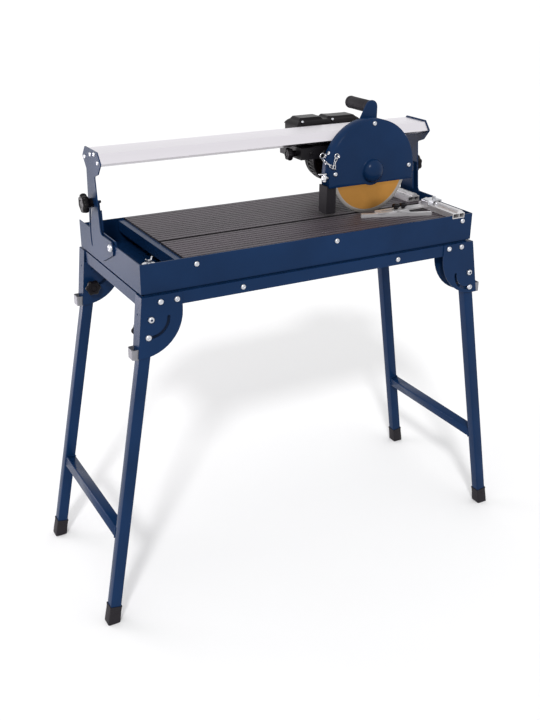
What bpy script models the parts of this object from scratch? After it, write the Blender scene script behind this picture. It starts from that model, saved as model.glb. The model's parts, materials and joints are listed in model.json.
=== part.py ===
"""A radial wet tile cutter on a folding stand, for Blender 4.5, in metres with +Z up.

The saw head rides along an aluminium rail above a water tray. The rail tilts forward on two
pillars for bevel cuts, and both pairs of legs fold up under the tray. The origin is on the floor
under the middle of the tray. X runs along the cut, and the user stands at -Y.
"""

import math

import bmesh
import bpy
from mathutils import Euler, Matrix, Vector

# ---------------------------------------------------------------- driving dimensions
GAP = 0.0003  # between pieces that touch
BORE_GAP = 0.0003  # round a pin, bolt or axle

tray_length = 0.808
tray_width = 0.358
tray_bottom = 0.733
tray_depth = 0.0605
tray_wall = 0.002
back_wall_drop = 0.008

table_below_rim = 0.0075
table_thickness = 0.010
reservoir_length = 0.103
table_end_gap = 0.014
rib_pitch = 0.0134
groove_width = 0.003
groove_depth = 0.0025
slot_width = 0.011
cut_from_front = 0.148

frame_height = 0.0261
frame_flange = 0.026
frame_sheet = 0.003
frame_proud = 0.0057
frame_riser = 0.0033

pivot_drop = {"left": 0.0501, "right": 0.0782}  # leg pivot below the tray's bottom
pivot_inset = {"left": 0.0146, "right": 0.0011}  # leg pivot inside the tray's end
bracket_reach = {"left": 0.083, "right": 0.080}  # bracket's inner edge from the tray's end
bracket_web_top = {"left": 0.0024, "right": 0.0034}  # web outside the tray's end
bracket_web_clear = {"left": 0.0009, "right": 0.0052}  # web outside the leg, at its foot
bracket_round_in = {"left": 0.006, "right": 0.017}
bracket_bottom = 0.130  # bracket's lowest edge below the tray's bottom
bracket_sheet = 0.002
leg_pin_radius = 0.004
lock_radius = 0.038
lock_bolt_radius = 0.003

tube_size = 0.024
tube_wall = 0.0015
tube_above_pivot = 0.010
foot_spread = 0.1095  # foot's middle outside the tray's end
foot_splay = 0.0199  # foot's middle further out than the pivot, front to back
crossbar_height = 0.208
cap_wall = 0.002
cap_height = 0.042
cap_floor = 0.008

pillar_sheet = 0.0025
pillar_gap = 0.001
tilt_radius = 0.123
tilt_start = math.radians(35)
tilt_range = math.radians(45)
tilt_pin_radius = 0.004
tilt_bolt_radius = 0.003
tilt_knob_radius = 0.019

rail_clear = 0.0077  # from the handle's plate to the rail
rail_width = 0.104
rail_flat = 0.074
rail_wall = 0.003
rail_upper = 0.018
rail_lower = 0.010
rail_foot = 0.056
head_lower = 0.0205  # the pillars' heads reach this far below the rail's widest line
rail_slot = 0.024

blade_radius = 0.100
blade_thickness = 0.0022
blade_bite = 0.003
blade_from_right = 0.187
arbor_radius = 0.011
flange_radius = 0.022
guard_margin = 0.0135
guard_sheet = 0.0015
guard_front = 0.011
guard_depth = 0.035
guard_skirt = 0.030
dome_radius = 0.026
dome_height = 0.020

gear_radius = 0.036
motor_radius = 0.060
motor_length = 0.038
motor_cover_length = 0.020
carriage_left = 0.158
carriage_right = 0.080
carriage_height = 0.0255
saddle_depth = 0.008  # the gear housing's top inside the carriage
carriage_width = 0.096
roller_radius = 0.010
roller_width = 0.012
post_width = 0.016
post_length = 0.026

handle_height = 0.1335  # grip's axis above the blade's axis
handle_along = 0.0145
handle_plate_radius = 0.0157
handle_sheet = 0.003
grip_radius = 0.014
grip_length = 0.090

fence_from_right = 0.056  # fence's -X face from the tray's end
fence_width = 0.033
fence_height = 0.012
fence_gap = 0.042

# ---------------------------------------------------------------- places worked out from them
left_end, right_end = -tray_length / 2, tray_length / 2
front_side, back_side = -tray_width / 2, tray_width / 2
rim_z = tray_bottom + tray_depth
table_z = rim_z - table_below_rim
cut_y = front_side + cut_from_front
frame_top = tray_bottom - GAP
frame_bottom = frame_top - frame_riser - frame_height
frame_face = tray_width / 2 + frame_proud
tilt_z = table_z + 0.001
blade_x = right_end - blade_from_right
blade_z = table_z + blade_radius - blade_bite
guard_y = cut_y - guard_front
guard_back = guard_y + guard_depth
rail_y = guard_back + GAP + handle_sheet + rail_clear + rail_width / 2
carriage_bottom = blade_z + gear_radius - saddle_depth
carriage_top = carriage_bottom + carriage_height
rail_bottom = carriage_top + 0.0025
rail_middle = rail_bottom + rail_lower
rail_top = rail_middle + rail_upper
guard_radius = blade_radius + guard_margin

# ---------------------------------------------------------------- scene and materials
for item in list(bpy.data.objects):
    bpy.data.objects.remove(item, do_unlink=True)

parts = bpy.data.collections.new("tile_cutter")
cutters = bpy.data.collections.new("cutters")
for group in (parts, cutters):
    bpy.context.scene.collection.children.link(group)
cutters.hide_render = True

FINISHES = {
    "blue_paint": ((0.012, 0.032, 0.085), 0.38, 0.0),
    "aluminium": ((0.72, 0.71, 0.74), 0.32, 1.0),
    "table_alloy": ((0.085, 0.078, 0.082), 0.55, 0.4),
    "black_plastic": ((0.012, 0.012, 0.013), 0.5, 0.0),
    "black_steel": ((0.010, 0.010, 0.012), 0.4, 0.2),
    "rubber": ((0.014, 0.013, 0.015), 0.75, 0.0),
    "zinc": ((0.62, 0.62, 0.64), 0.3, 1.0),
    "blade_gold": ((0.62, 0.33, 0.075), 0.35, 0.7),
}


def finish_of(slot):
    """The material of one finish, made the first time it is asked for."""
    found = bpy.data.materials.get(slot)
    if found:
        return found
    colour, roughness, metallic = FINISHES[slot]
    made = bpy.data.materials.new(slot)
    made.use_nodes = True
    shader = made.node_tree.nodes["Principled BSDF"]
    shader.inputs["Base Color"].default_value = (*colour, 1)
    shader.inputs["Roughness"].default_value = roughness
    shader.inputs["Metallic"].default_value = metallic
    return made


# ---------------------------------------------------------------- shapes
PLANES = {  # columns: where the outline's u, its v and its thickness point
    "XY": Matrix(((1, 0, 0), (0, 1, 0), (0, 0, 1))),
    "XZ": Matrix(((1, 0, 0), (0, 0, -1), (0, 1, 0))),
    "YZ": Matrix(((0, 0, 1), (1, 0, 0), (0, 1, 0))),
}


def put(name, mesh, slot, matrix=None):
    """A named object in the parts collection, with its place in its mesh."""
    if matrix is not None:
        mesh.transform(matrix)
    mesh.materials.clear()
    mesh.materials.append(finish_of(slot))
    made = bpy.data.objects.new(name, mesh)
    parts.objects.link(made)
    return made


def from_bmesh(name, shape, slot, matrix=None):
    mesh = bpy.data.meshes.new(name)
    shape.to_mesh(mesh)
    shape.free()
    return put(name, mesh, slot, matrix)


def box(name, low, high, slot="blue_paint", matrix=None):
    """A box between two corners."""
    low, high = Vector(low), Vector(high)
    size = high - low
    shape = bmesh.new()
    place = Matrix.Translation((low + high) / 2) @ Matrix.Diagonal((*size, 1))
    bmesh.ops.create_cube(shape, size=1, matrix=place)
    return from_bmesh(name, shape, slot, matrix)


def rod(name, radius, start, end, slot="zinc", sides=24, end_radius=None):
    """A round bar, or a cone, from one point to another."""
    start, end = Vector(start), Vector(end)
    along = end - start
    turn = along.to_track_quat("Z", "Y").to_matrix().to_4x4()
    place = Matrix.Translation((start + end) / 2) @ turn
    shape = bmesh.new()
    bmesh.ops.create_cone(
        shape, cap_ends=True, segments=sides, radius1=radius,
        radius2=radius if end_radius is None else end_radius, depth=along.length, matrix=place,
    )
    made = from_bmesh(name, shape, slot)
    made.data.shade_smooth()
    made.data.set_sharp_from_angle(angle=math.radians(40))
    return made


def arc(centre, radius, start, end, steps):
    """Points along an arc, from one angle in radians to another."""
    turns = [start + (end - start) * i / steps for i in range(steps + 1)]
    return [(centre[0] + radius * math.cos(t), centre[1] + radius * math.sin(t)) for t in turns]


def circle(centre, radius, sides=24):
    return arc(centre, radius, 0, 2 * math.pi * (1 - 1 / sides), sides - 1)


def rounded(corners, steps=4):
    """An outline from corners (u, v, radius), each rounded by an arc that touches both sides."""
    points = []
    for i, (u, v, radius) in enumerate(corners):
        here = Vector((u, v))
        before = (Vector(corners[i - 1][:2]) - here).normalized()
        after = (Vector(corners[(i + 1) % len(corners)][:2]) - here).normalized()
        half = before.angle(after) / 2
        if radius <= 0 or half > math.radians(89):
            points.append((u, v))
            continue
        centre = here + (before + after).normalized() * radius / math.sin(half)
        first = here + before * radius / math.tan(half) - centre
        last = here + after * radius / math.tan(half) - centre
        turn = first.angle_signed(last)
        for k in range(steps + 1):
            spoke = first.copy()
            spoke.rotate(Matrix.Rotation(-turn * k / steps, 2))
            points.append(tuple(centre + spoke))
    return points


def slot_outline(centre, radius, start, end, half_width, steps=12):
    """A curved slot round a centre, with round ends."""
    ends = [arc(centre, radius, a, a, 1)[0] for a in (start, end)]
    points = arc(centre, radius + half_width, start, end, steps)
    points += arc(ends[1], half_width, end, end + math.pi, 4)[1:-1]
    points += arc(centre, radius - half_width, end, start, steps)
    points += arc(ends[0], half_width, start + math.pi, start + 2 * math.pi, 4)[1:-1]
    return points


def plate(name, loops, plane, near, far, slot="blue_paint"):
    """A flat piece: an outline and its holes, lying in a plane, from near to far across it."""
    curve = bpy.data.curves.new(name, "CURVE")
    curve.dimensions = "2D"
    curve.fill_mode = "BOTH"
    curve.extrude = abs(far - near) / 2
    for loop in loops:
        spline = curve.splines.new("POLY")
        spline.points.add(len(loop) - 1)
        for point, (u, v) in zip(spline.points, loop):
            point.co = (u, v, 0, 1)
        spline.use_cyclic_u = True
    guide = bpy.data.objects.new(name + "_curve", curve)
    parts.objects.link(guide)
    axes = PLANES[plane]
    middle = axes @ Vector((0, 0, 1)) * (near + far) / 2
    if plane == "XZ":
        middle = -middle
    graph = bpy.context.evaluated_depsgraph_get()
    mesh = bpy.data.meshes.new_from_object(guide.evaluated_get(graph))
    bpy.data.objects.remove(guide)
    shape = bmesh.new()
    shape.from_mesh(mesh)
    bmesh.ops.remove_doubles(shape, verts=shape.verts, dist=1e-6)
    bmesh.ops.recalc_face_normals(shape, faces=shape.faces)
    shape.to_mesh(mesh)
    shape.free()
    return put(name, mesh, slot, Matrix.Translation(middle) @ axes.to_4x4())


def turned(name, profile, centre, direction, slot, steps=32):
    """A turned piece: a profile of (radius, height) screwed round an axis from a centre.

    The profile runs from the top of the axis down its outer side.
    """
    mesh = bpy.data.meshes.new(name)
    edges = [(i, i + 1) for i in range(len(profile) - 1)]
    if profile[0][0] > 0:
        edges.append((len(profile) - 1, 0))
    mesh.from_pydata([(r, 0, h) for r, h in profile], edges, [])
    made = put(name, mesh, slot)
    screw = made.modifiers.new("turn", "SCREW")
    screw.steps = screw.render_steps = steps
    screw.use_merge_vertices = True
    screw.merge_threshold = 1e-5
    graph = bpy.context.evaluated_depsgraph_get()
    whole = bpy.data.meshes.new_from_object(made.evaluated_get(graph))
    bpy.data.objects.remove(made)
    turn = Vector(direction).to_track_quat("Z", "Y").to_matrix().to_4x4()
    shape = bmesh.new()
    shape.from_mesh(whole)
    bmesh.ops.remove_doubles(shape, verts=shape.verts, dist=1e-6)
    bmesh.ops.recalc_face_normals(shape, faces=shape.faces)
    shape.to_mesh(whole)
    shape.free()
    made = put(name, whole, slot, Matrix.Translation(centre) @ turn)
    made.data.shade_smooth()
    made.data.set_sharp_from_angle(angle=math.radians(35))
    return made


def with_others(target, operation, others):
    """Cuts the others from the target, or joins them to it, and keeps them as hidden helpers."""
    for other in others:
        change = target.modifiers.new(other.name, "BOOLEAN")
        change.operation = operation
        change.solver = "EXACT"
        change.object = other
        parts.objects.unlink(other)
        cutters.objects.link(other)
        other.hide_render = True
        other.display_type = "WIRE"
    return target


def cut(target, *others):
    return with_others(target, "DIFFERENCE", others)


def join(target, *others):
    return with_others(target, "UNION", others)


def body(name, place, *pieces, parent=None):
    """An empty on a joint's axis, with the pieces that move round or along it as its children."""
    axis = bpy.data.objects.new(name, None)
    axis.empty_display_size = 0.05
    axis.location = place
    parts.objects.link(axis)
    bpy.context.view_layer.update()
    if parent:
        axis.parent = parent
        axis.matrix_parent_inverse = parent.matrix_world.inverted()
    bpy.context.view_layer.update()
    for piece in pieces:
        piece.parent = axis
        piece.matrix_parent_inverse = axis.matrix_world.inverted()
    return axis


def star_outline(centre, radius, lobes=7, steps=6):
    """A star grip's outline: a circle whose radius swells and dips once for each lobe."""
    points = []
    for i in range(lobes * steps):
        turn = 2 * math.pi * i / (lobes * steps)
        reach = radius * (0.92 + 0.08 * math.cos(lobes * turn))
        points.append((centre[0] + reach * math.cos(turn), centre[1] + reach * math.sin(turn)))
    return points


# ---------------------------------------------------------------- tray and tables
def make_tray():
    """A folded pan, open at the top, with its back wall level with the tables."""
    inner = tray_wall
    tray = box("tray", (left_end, front_side, tray_bottom), (right_end, back_side, rim_z))
    hollow = box(
        "tray_hollow",
        (left_end + inner, front_side + inner, tray_bottom + inner),
        (right_end - inner, back_side - inner, rim_z + 0.02),
    )
    low_back = box(
        "tray_low_back",
        (left_end + inner, back_side - 0.01, rim_z - back_wall_drop),
        (right_end - inner, back_side + 0.01, rim_z + 0.01),
    )
    fence_x = right_end - fence_from_right
    notch = box(
        "tray_fence_notch",
        (fence_x - 0.0015, front_side - 0.01, table_z),
        (fence_x + fence_width + 0.0015, front_side + 0.01, rim_z + 0.01),
    )
    drain = rod(
        "tray_drain", drain_radius + BORE_GAP,
        (*drain_place, tray_bottom - 0.01), (*drain_place, tray_bottom + 0.01),
    )
    pins = rod(
        "tray_pin_holes", tilt_pin_radius + BORE_GAP,
        (left_end - 0.02, cut_y, tilt_z), (right_end + 0.02, cut_y, tilt_z), sides=16,
    )
    return cut(tray, hollow, low_back, notch, drain, pins)


drain_radius = 0.006
drain_height = 0.047  # the stopper's disc above the tray's floor
drain_place = (left_end + 0.0365, front_side + 0.043)
table_left = left_end + reservoir_length
table_right = right_end - tray_wall - table_end_gap


def ribbed_outline(near, far, top, thickness):
    """A table plate seen from its end: ribs a pitch apart, counted from the cutting slot."""
    points = [(far, top - thickness), (near, top - thickness), (near, top)]
    count = int((far - near - groove_width) / rib_pitch)
    margin = (far - near - (count - 1) * rib_pitch - groove_width) / 2
    for i in range(count):
        left = near + margin + i * rib_pitch
        points += [
            (left, top), (left, top - groove_depth),
            (left + groove_width, top - groove_depth), (left + groove_width, top),
        ]
    return points + [(far, top)]


def make_tables():
    edge = tray_wall + 0.001
    sides = {
        "table_front": (front_side + edge, cut_y - slot_width / 2),
        "table_back": (cut_y + slot_width / 2, back_side - edge),
    }
    for name, (near, far) in sides.items():
        outline = ribbed_outline(near, far, table_z, table_thickness)
        plate(name, [outline], "YZ", table_left, table_right, "table_alloy")


def make_table_support():
    """Three cross members and a channel under the slot, welded into one support."""
    top = table_z - table_thickness - GAP
    low = top - 0.018
    near, far = front_side + tray_wall + GAP, back_side - tray_wall - GAP
    lip = table_z - 0.004
    ledge = [
        (table_left - 0.016, low), (table_left + 0.016, low), (table_left + 0.016, top),
        (table_left - GAP, top), (table_left - GAP, lip), (table_left - 0.016, lip),
    ]
    support = plate("table_support", [ledge], "XZ", near, far)
    reach = 0.0105
    sheet = 0.002
    channel = [
        (cut_y - reach, low + 0.001), (cut_y + reach, low + 0.001), (cut_y + reach, top - 0.0005),
        (cut_y + reach - sheet, top - 0.0005), (cut_y + reach - sheet, low + 0.001 + sheet),
        (cut_y - reach + sheet, low + 0.001 + sheet), (cut_y - reach + sheet, top - 0.0005),
        (cut_y - reach, top - 0.0005),
    ]
    run = plate("support_channel", [channel], "YZ", table_left + 0.010, table_right - 0.004)
    members = []
    for name, middle in (("support_middle", left_end + 0.444), ("support_right", table_right - 0.015)):
        halves = (near, cut_y - reach + 0.001), (cut_y + reach - 0.001, far)
        for side, (start, end) in zip(("front", "back"), halves):
            low_corner = (middle - 0.010, start, low)
            members.append(box(f"{name}_{side}", low_corner, (middle + 0.010, end, top)))
    return join(support, run, *members)


def make_drain_plug():
    """A standing overflow pipe with a threaded foot through the floor, a disc and a wing nut."""
    u, v = drain_place
    floor = tray_bottom + tray_wall
    top = floor + drain_height
    disc = rod("drain_plug", 0.015, (u, v, top - 0.003), (u, v, top), "zinc", 28)
    pipe = rod("plug_pipe", 0.010, (u, v, floor + GAP), (u, v, top - 0.001), sides=24)
    shank = rod("plug_shank", drain_radius, (u, v, tray_bottom - 0.0026), (u, v, floor + 0.004), sides=16)
    wing = rounded([
        (u - 0.0115, top + 0.0105, 0.002), (u - 0.007, top - 0.0005, 0), (u + 0.007, top - 0.0005, 0),
        (u + 0.0115, top + 0.0105, 0.002), (u + 0.006, top + 0.0095, 0.002),
        (u + 0.003, top + 0.005, 0), (u - 0.003, top + 0.005, 0), (u - 0.006, top + 0.0095, 0.002),
    ], 2)
    return join(disc, pipe, shank, plate("plug_wing", [wing], "XZ", v - 0.0015, v + 0.0015, "zinc"))


# ---------------------------------------------------------------- underframe and legs
def rectangle(half_x, half_y):
    return [(-half_x, -half_y), (half_x, -half_y), (half_x, half_y), (-half_x, half_y)]


def make_underframe():
    """A welded ring of steel angle, with a narrow riser that lifts the tray off it."""
    outer = (tray_length / 2, frame_face)
    web = [rectangle(*outer), rectangle(*(side - frame_sheet for side in outer))]
    flange = [
        rectangle(*(side - 0.0005 for side in outer)), rectangle(*(side - frame_flange for side in outer))
    ]
    riser = [
        rectangle(*(side - 0.009 for side in outer)), rectangle(*(side - frame_flange + 0.001 for side in outer))
    ]
    shoulder = frame_top - frame_riser
    frame = plate("underframe", web, "XY", frame_bottom, shoulder - 0.0004)
    top = plate("frame_flange", flange, "XY", shoulder - frame_sheet, shoulder)
    lift = plate("frame_riser", riser, "XY", shoulder - 0.001, frame_top)
    return join(frame, top, lift)


SIDES = {"left": -1, "right": 1}
ENDS = {"front": -1, "back": 1}


def leg_frame(side):
    """Pivot, foot and lean of the front leg of one pair, before it is mirrored to the back."""
    out = SIDES[side]
    pivot = Vector((out * (tray_length / 2 - pivot_inset[side]), -leg_row, tray_bottom - pivot_drop[side]))
    foot = Vector((out * (tray_length / 2 + foot_spread), -leg_row - foot_splay, 0))
    return pivot, foot


plate_outside = frame_face + GAP
leg_space = tube_size + 0.005  # between a bracket's two plates
leg_row = plate_outside - tube_size / 2 - 0.0035  # leg's middle at its pivot, from the tray's middle
cap_size = tube_size + 2 * cap_wall
leg_lean = {side: math.atan2(foot_spread + pivot_inset[side], tray_bottom - pivot_drop[side]) for side in SIDES}
bracket_web_foot = {
    side: (bracket_bottom - pivot_drop[side]) * math.tan(leg_lean[side]) - pivot_inset[side]
    + tube_size / 2 / math.cos(leg_lean[side]) + bracket_web_clear[side] + bracket_sheet
    for side in SIDES
}


def bracket_outline(side, top, inset_above=None):
    """A bracket plate with a large round corner, in X and Z, as (distance from the end, height)."""
    reach, round_in = bracket_reach[side], bracket_round_in[side]
    low = tray_bottom - bracket_bottom
    radius = reach + round_in
    centre = (-round_in, low + radius)
    web_top, web_foot = bracket_web_top[side] - 0.0004, bracket_web_foot[side] - 0.0004
    outline = [(reach, top)]
    outline += arc(centre, radius, 0, -math.pi / 2, 12)
    outline.append((-web_foot, low))
    if inset_above is None:
        outline.append((-web_top, top))
    else:
        level = inset_above - 0.001
        share = (level - low) / (frame_top - frame_riser - low)
        outline.append((-web_foot + (web_foot - web_top) * share, level))
        outline += [(frame_sheet + GAP, level), (frame_sheet + GAP, top)]
    return outline


def to_end(side, points):
    """Outline points given from the tray's end, as X and Z."""
    out = SIDES[side]
    return [(out * (tray_length / 2 - u), v) for u, v in points]


def make_bracket(side, end):
    """A folded steel bracket: two plates and a web, with the leg's pivot pin riveted through it."""
    name = f"leg_bracket_{end}_{side}"
    out, face = SIDES[side], ENDS[end]
    pivot, foot = leg_frame(side)
    low = tray_bottom - bracket_bottom
    lean = math.atan2(foot_spread + pivot_inset[side], pivot.z)
    u_pivot = pivot_inset[side]
    down = -math.pi / 2 - lean
    slot = slot_outline((u_pivot, pivot.z), lock_radius, down, down + fold_angle(side), lock_bolt_radius + 0.0005)
    outer_top = frame_top - frame_riser
    inner_top = outer_top - frame_sheet - 0.0005
    y_out, y_in = face * plate_outside, face * (plate_outside - leg_space)
    y_face = y_out + face * bracket_sheet
    y_back = y_in - face * bracket_sheet
    outer = plate(
        name, [to_end(side, bracket_outline(side, outer_top)), to_end(side, slot)], "XZ", y_out, y_face
    )
    inner = plate(
        name + "_inner",
        [to_end(side, bracket_outline(side, inner_top, frame_bottom)), to_end(side, slot)],
        "XZ", y_back, y_in,
    )
    web_top, web_foot = bracket_web_top[side], bracket_web_foot[side]
    strip = [(-web_top, outer_top - 0.0004), (-web_foot, low + 0.0004)]
    web = strip + [(u + bracket_sheet, v) for u, v in reversed(strip)]
    fold = plate(name + "_web", [to_end(side, web)], "XZ", y_face - face * 0.0004, y_back + face * 0.0004)
    pin = rod(
        name + "_pin", leg_pin_radius, (pivot.x, y_face + face * 0.002, pivot.z),
        (pivot.x, y_back - face * 0.004, pivot.z), sides=16,
    )
    head = rod(
        name + "_head", 0.007, (pivot.x, y_face - face * 0.0004, pivot.z),
        (pivot.x, y_face + face * 0.0045, pivot.z), sides=20, end_radius=0.005,
    )
    join(outer, inner, fold, pin, head)
    hole = rod(
        name + "_hole", 0.0022, (out * (tray_length / 2 - 0.01), face * leg_row, frame_bottom - 0.012),
        (out * (tray_length / 2 + 0.03), face * leg_row, frame_bottom - 0.012), sides=12,
    )
    return cut(outer, hole)


def fold_angle(side):
    """From the leg's lean outwards to lying level under the tray."""
    pivot, foot = leg_frame(side)
    return math.pi / 2 + math.atan2(foot_spread + pivot_inset[side], pivot.z)


def leg_matrix(side, end):
    """Turns a leg drawn straight down from the origin to its own lean, at its pivot."""
    pivot, foot = leg_frame(side)
    face = ENDS[end]
    reach = math.hypot(foot_spread + pivot_inset[side], pivot.z)
    turn = Matrix.Rotation(-SIDES[side] * math.atan2(foot_spread + pivot_inset[side], pivot.z), 4, "Y")
    splay = Matrix.Rotation(face * math.atan2(foot_splay, reach), 4, "X")
    return Matrix.Translation((pivot.x, face * leg_row, pivot.z)) @ turn @ splay


def leg_length(side):
    pivot, foot = leg_frame(side)
    return (pivot - foot).length


def lock_point(side, end):
    """Where the lock bolt crosses the leg, a slot radius below the pivot."""
    return leg_matrix(side, end) @ Vector((0, 0, -lock_radius))


def make_leg(side, end):
    """A square tube with its rubber cap and the star knob whose bolt runs in the bracket's slot."""
    name = f"leg_{end}_{side}"
    face = ENDS[end]
    lean = leg_matrix(side, end)
    length = leg_length(side)
    half = tube_size / 2
    ring = [rectangle(half, half), rectangle(half - tube_wall, half - tube_wall)]
    tube = plate(name, ring, "XY", cap_floor + 0.001 - length, tube_above_pivot)
    tube.data.transform(lean)
    pivot, _ = leg_frame(side)
    lock = lock_point(side, end)
    holes = [
        rod(
            f"{name}_hole_{label}", radius + BORE_GAP, (x, face * (leg_row - 0.05), z),
            (x, face * (leg_row + 0.05), z), sides=16,
        )
        for label, radius, x, z in (
            ("pivot", leg_pin_radius, pivot.x, pivot.z), ("lock", lock_bolt_radius, lock.x, lock.z)
        )
    ]
    cut(tube, *holes)

    grip = cap_size / 2
    cap = box(f"foot_{end}_{side}", (-grip, -grip, -length - 0.02), (grip, grip, -length + cap_height), "rubber")
    cap.data.transform(lean)
    socket_half = half + GAP
    socket = box(
        f"socket_{end}_{side}", (-socket_half, -socket_half, cap_floor - length),
        (socket_half, socket_half, 0.1 - length), "rubber",
    )
    socket.data.transform(lean)
    floor = box(
        f"floor_{end}_{side}", (lock.x - 0.3, face * leg_row - 0.2, -0.1),
        (lock.x + 0.3, face * leg_row + 0.2, 0), "rubber",
    )
    cut(cap, socket, floor)

    y_head = face * (plate_outside + bracket_sheet + GAP)
    y_grip = face * (plate_outside - leg_space - bracket_sheet - GAP)
    bolt = rod(
        f"leg_knob_{end}_{side}", lock_bolt_radius, (lock.x, y_head + face * 0.002, lock.z),
        (lock.x, y_grip - face * 0.012, lock.z), "black_plastic", 16,
    )
    head = rod(
        f"bolt_head_{end}_{side}", 0.0065, (lock.x, y_head, lock.z),
        (lock.x, y_head + face * 0.0045, lock.z), sides=20, end_radius=0.0055,
    )
    hub = rod(
        f"knob_hub_{end}_{side}", 0.009, (lock.x, y_grip, lock.z), (lock.x, y_grip - face * 0.008, lock.z), sides=20
    )
    star = plate(
        f"knob_star_{end}_{side}", [star_outline((lock.x, lock.z), 0.016, 6)], "XZ",
        y_grip - face * 0.0075, y_grip - face * 0.0195, "black_plastic",
    )
    join(bolt, head, hub, star)
    return tube, cap, bolt


def make_crossbar(side):
    """A square tube between the two legs of a pair, leaning with them."""
    pivot, foot = leg_frame(side)
    share = (pivot.z - crossbar_height) / pivot.z
    middle = pivot.lerp(foot, share)
    lean = math.atan2(foot_spread + pivot_inset[side], pivot.z)
    splay = math.atan2(foot_splay, pivot.z)
    half = tube_size / 2
    reach = abs(middle.y) - half / math.cos(splay) - half * math.sin(splay) - GAP
    ring = [rectangle(half, half), rectangle(half - tube_wall, half - tube_wall)]
    bar = plate(f"crossbar_{side}", ring, "XZ", -reach, reach)
    turn = Matrix.Rotation(-SIDES[side] * lean, 4, "Y")
    bar.data.transform(Matrix.Translation((middle.x, 0, middle.z)) @ turn)
    return bar


def make_legs():
    """Both folding pairs. Each hangs on an empty on its fold axis."""
    for side in SIDES:
        pieces = [make_crossbar(side)]
        pivot, _ = leg_frame(side)
        fold = body(f"{side}_legs", (pivot.x, 0, pivot.z))
        for end in ENDS:
            make_bracket(side, end)
            tube, cap, knob = make_leg(side, end)
            pieces += [tube, cap]
            lock = lock_point(side, end)
            body(f"{side}_{end}_leg_lock", lock, knob, parent=fold)
        for piece in pieces:
            piece.parent = fold
            piece.matrix_parent_inverse = fold.matrix_world.inverted()


# ---------------------------------------------------------------- tilting rail
rail_half = rail_width / 2
flat_half = rail_flat / 2


def rail_hexagon(grow=0.0, drop=rail_lower, foot=rail_foot / 2):
    """A six-sided outline in Y and Z as wide as the rail, counter-clockwise from its lower front."""
    low = rail_middle - drop
    return [
        (rail_y - foot, low - grow), (rail_y + foot, low - grow),
        (rail_y + rail_half + grow, rail_middle), (rail_y + flat_half, rail_top + grow),
        (rail_y - flat_half, rail_top + grow), (rail_y - rail_half - grow, rail_middle),
    ]


def make_rail():
    """A hollow extrusion with a broad roof and a shallow belly, slotted for the roller posts."""
    lower, upper = rail_bottom + rail_wall, rail_top - rail_wall
    slope = math.atan2(rail_lower, rail_half - rail_foot / 2)
    belly = rail_half - rail_wall / math.sin(slope) - (rail_middle - lower) / math.tan(slope)
    shoulder = math.atan2(rail_upper, rail_half - flat_half)
    inner_flat = rail_half - rail_wall / math.sin(shoulder) - (upper - rail_middle) / math.tan(shoulder)
    rise = math.tan(slope) * math.tan(shoulder) / (math.tan(slope) + math.tan(shoulder))
    corner_z = rail_middle + rail_wall * (1 / math.sin(slope) - 1 / math.sin(shoulder)) * rise
    corner = rail_half - rail_wall / math.sin(shoulder) - (corner_z - rail_middle) / math.tan(shoulder)
    slot = rail_slot / 2
    right = [(slot, rail_bottom), (slot, lower), (belly, lower), (corner, corner_z), (inner_flat, upper)]
    outline = [(rail_y - v, z) for v, z in right] + [(rail_y + v, z) for v, z in reversed(right)]
    outline += rail_hexagon()[1:] + rail_hexagon()[:1]
    reach = tray_length / 2 + pillar_gap - GAP
    return plate("rail", [outline], "YZ", -reach, reach, "aluminium")


def tilt_stud(radius=None):
    """Where the tilt lock's stud stands, round the tilt axis."""
    reach = tilt_radius if radius is None else radius
    return cut_y + reach * math.cos(tilt_start), tilt_z + reach * math.sin(tilt_start)


def pillar_outline():
    """A pillar in Y and Z: a nose on the tilt axis, a slotted foot, a neck and a six-sided head."""
    stud_y, stud_z = tilt_stud()
    neck_front, neck_back = stud_y - 0.029, stud_y + 0.031
    hexagon = [(y, z, 0.004) for y, z in rail_hexagon(0.0035, head_lower, flat_half - 0.002)]
    return rounded([
        (neck_back, table_z - 0.044, 0.006), (cut_y + 0.058, table_z - 0.044, 0.010),
        (cut_y - 0.010, table_z - 0.012, 0.008), (cut_y - 0.010, tilt_z + 0.0125, 0.011),
        (neck_front - 0.011, tilt_z + 0.0125, 0.010), (neck_front + 0.003, rail_middle - head_lower - 0.012, 0.004),
        *head_corners(hexagon),
    ])


def head_corners(hexagon):
    """The head's corners from its lower front, over the top, to where it meets the neck's back."""
    lower_front, lower_back, back, top_back, top_front, front = hexagon
    return [lower_front, front, top_front, top_back, back, lower_back]


def make_pillar(side):
    out = SIDES[side]
    slot = slot_outline(
        (cut_y, tilt_z), tilt_radius, tilt_start - tilt_range - math.radians(1.5),
        tilt_start + math.radians(1.5), tilt_bolt_radius + 0.0007,
    )
    pin_hole = circle((cut_y, tilt_z), tilt_pin_radius + BORE_GAP, 20)
    face = out * (tray_length / 2 + pillar_gap)
    return plate(
        f"pillar_{side}", [pillar_outline(), slot, pin_hole], "YZ", face, face + out * pillar_sheet
    )


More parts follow.
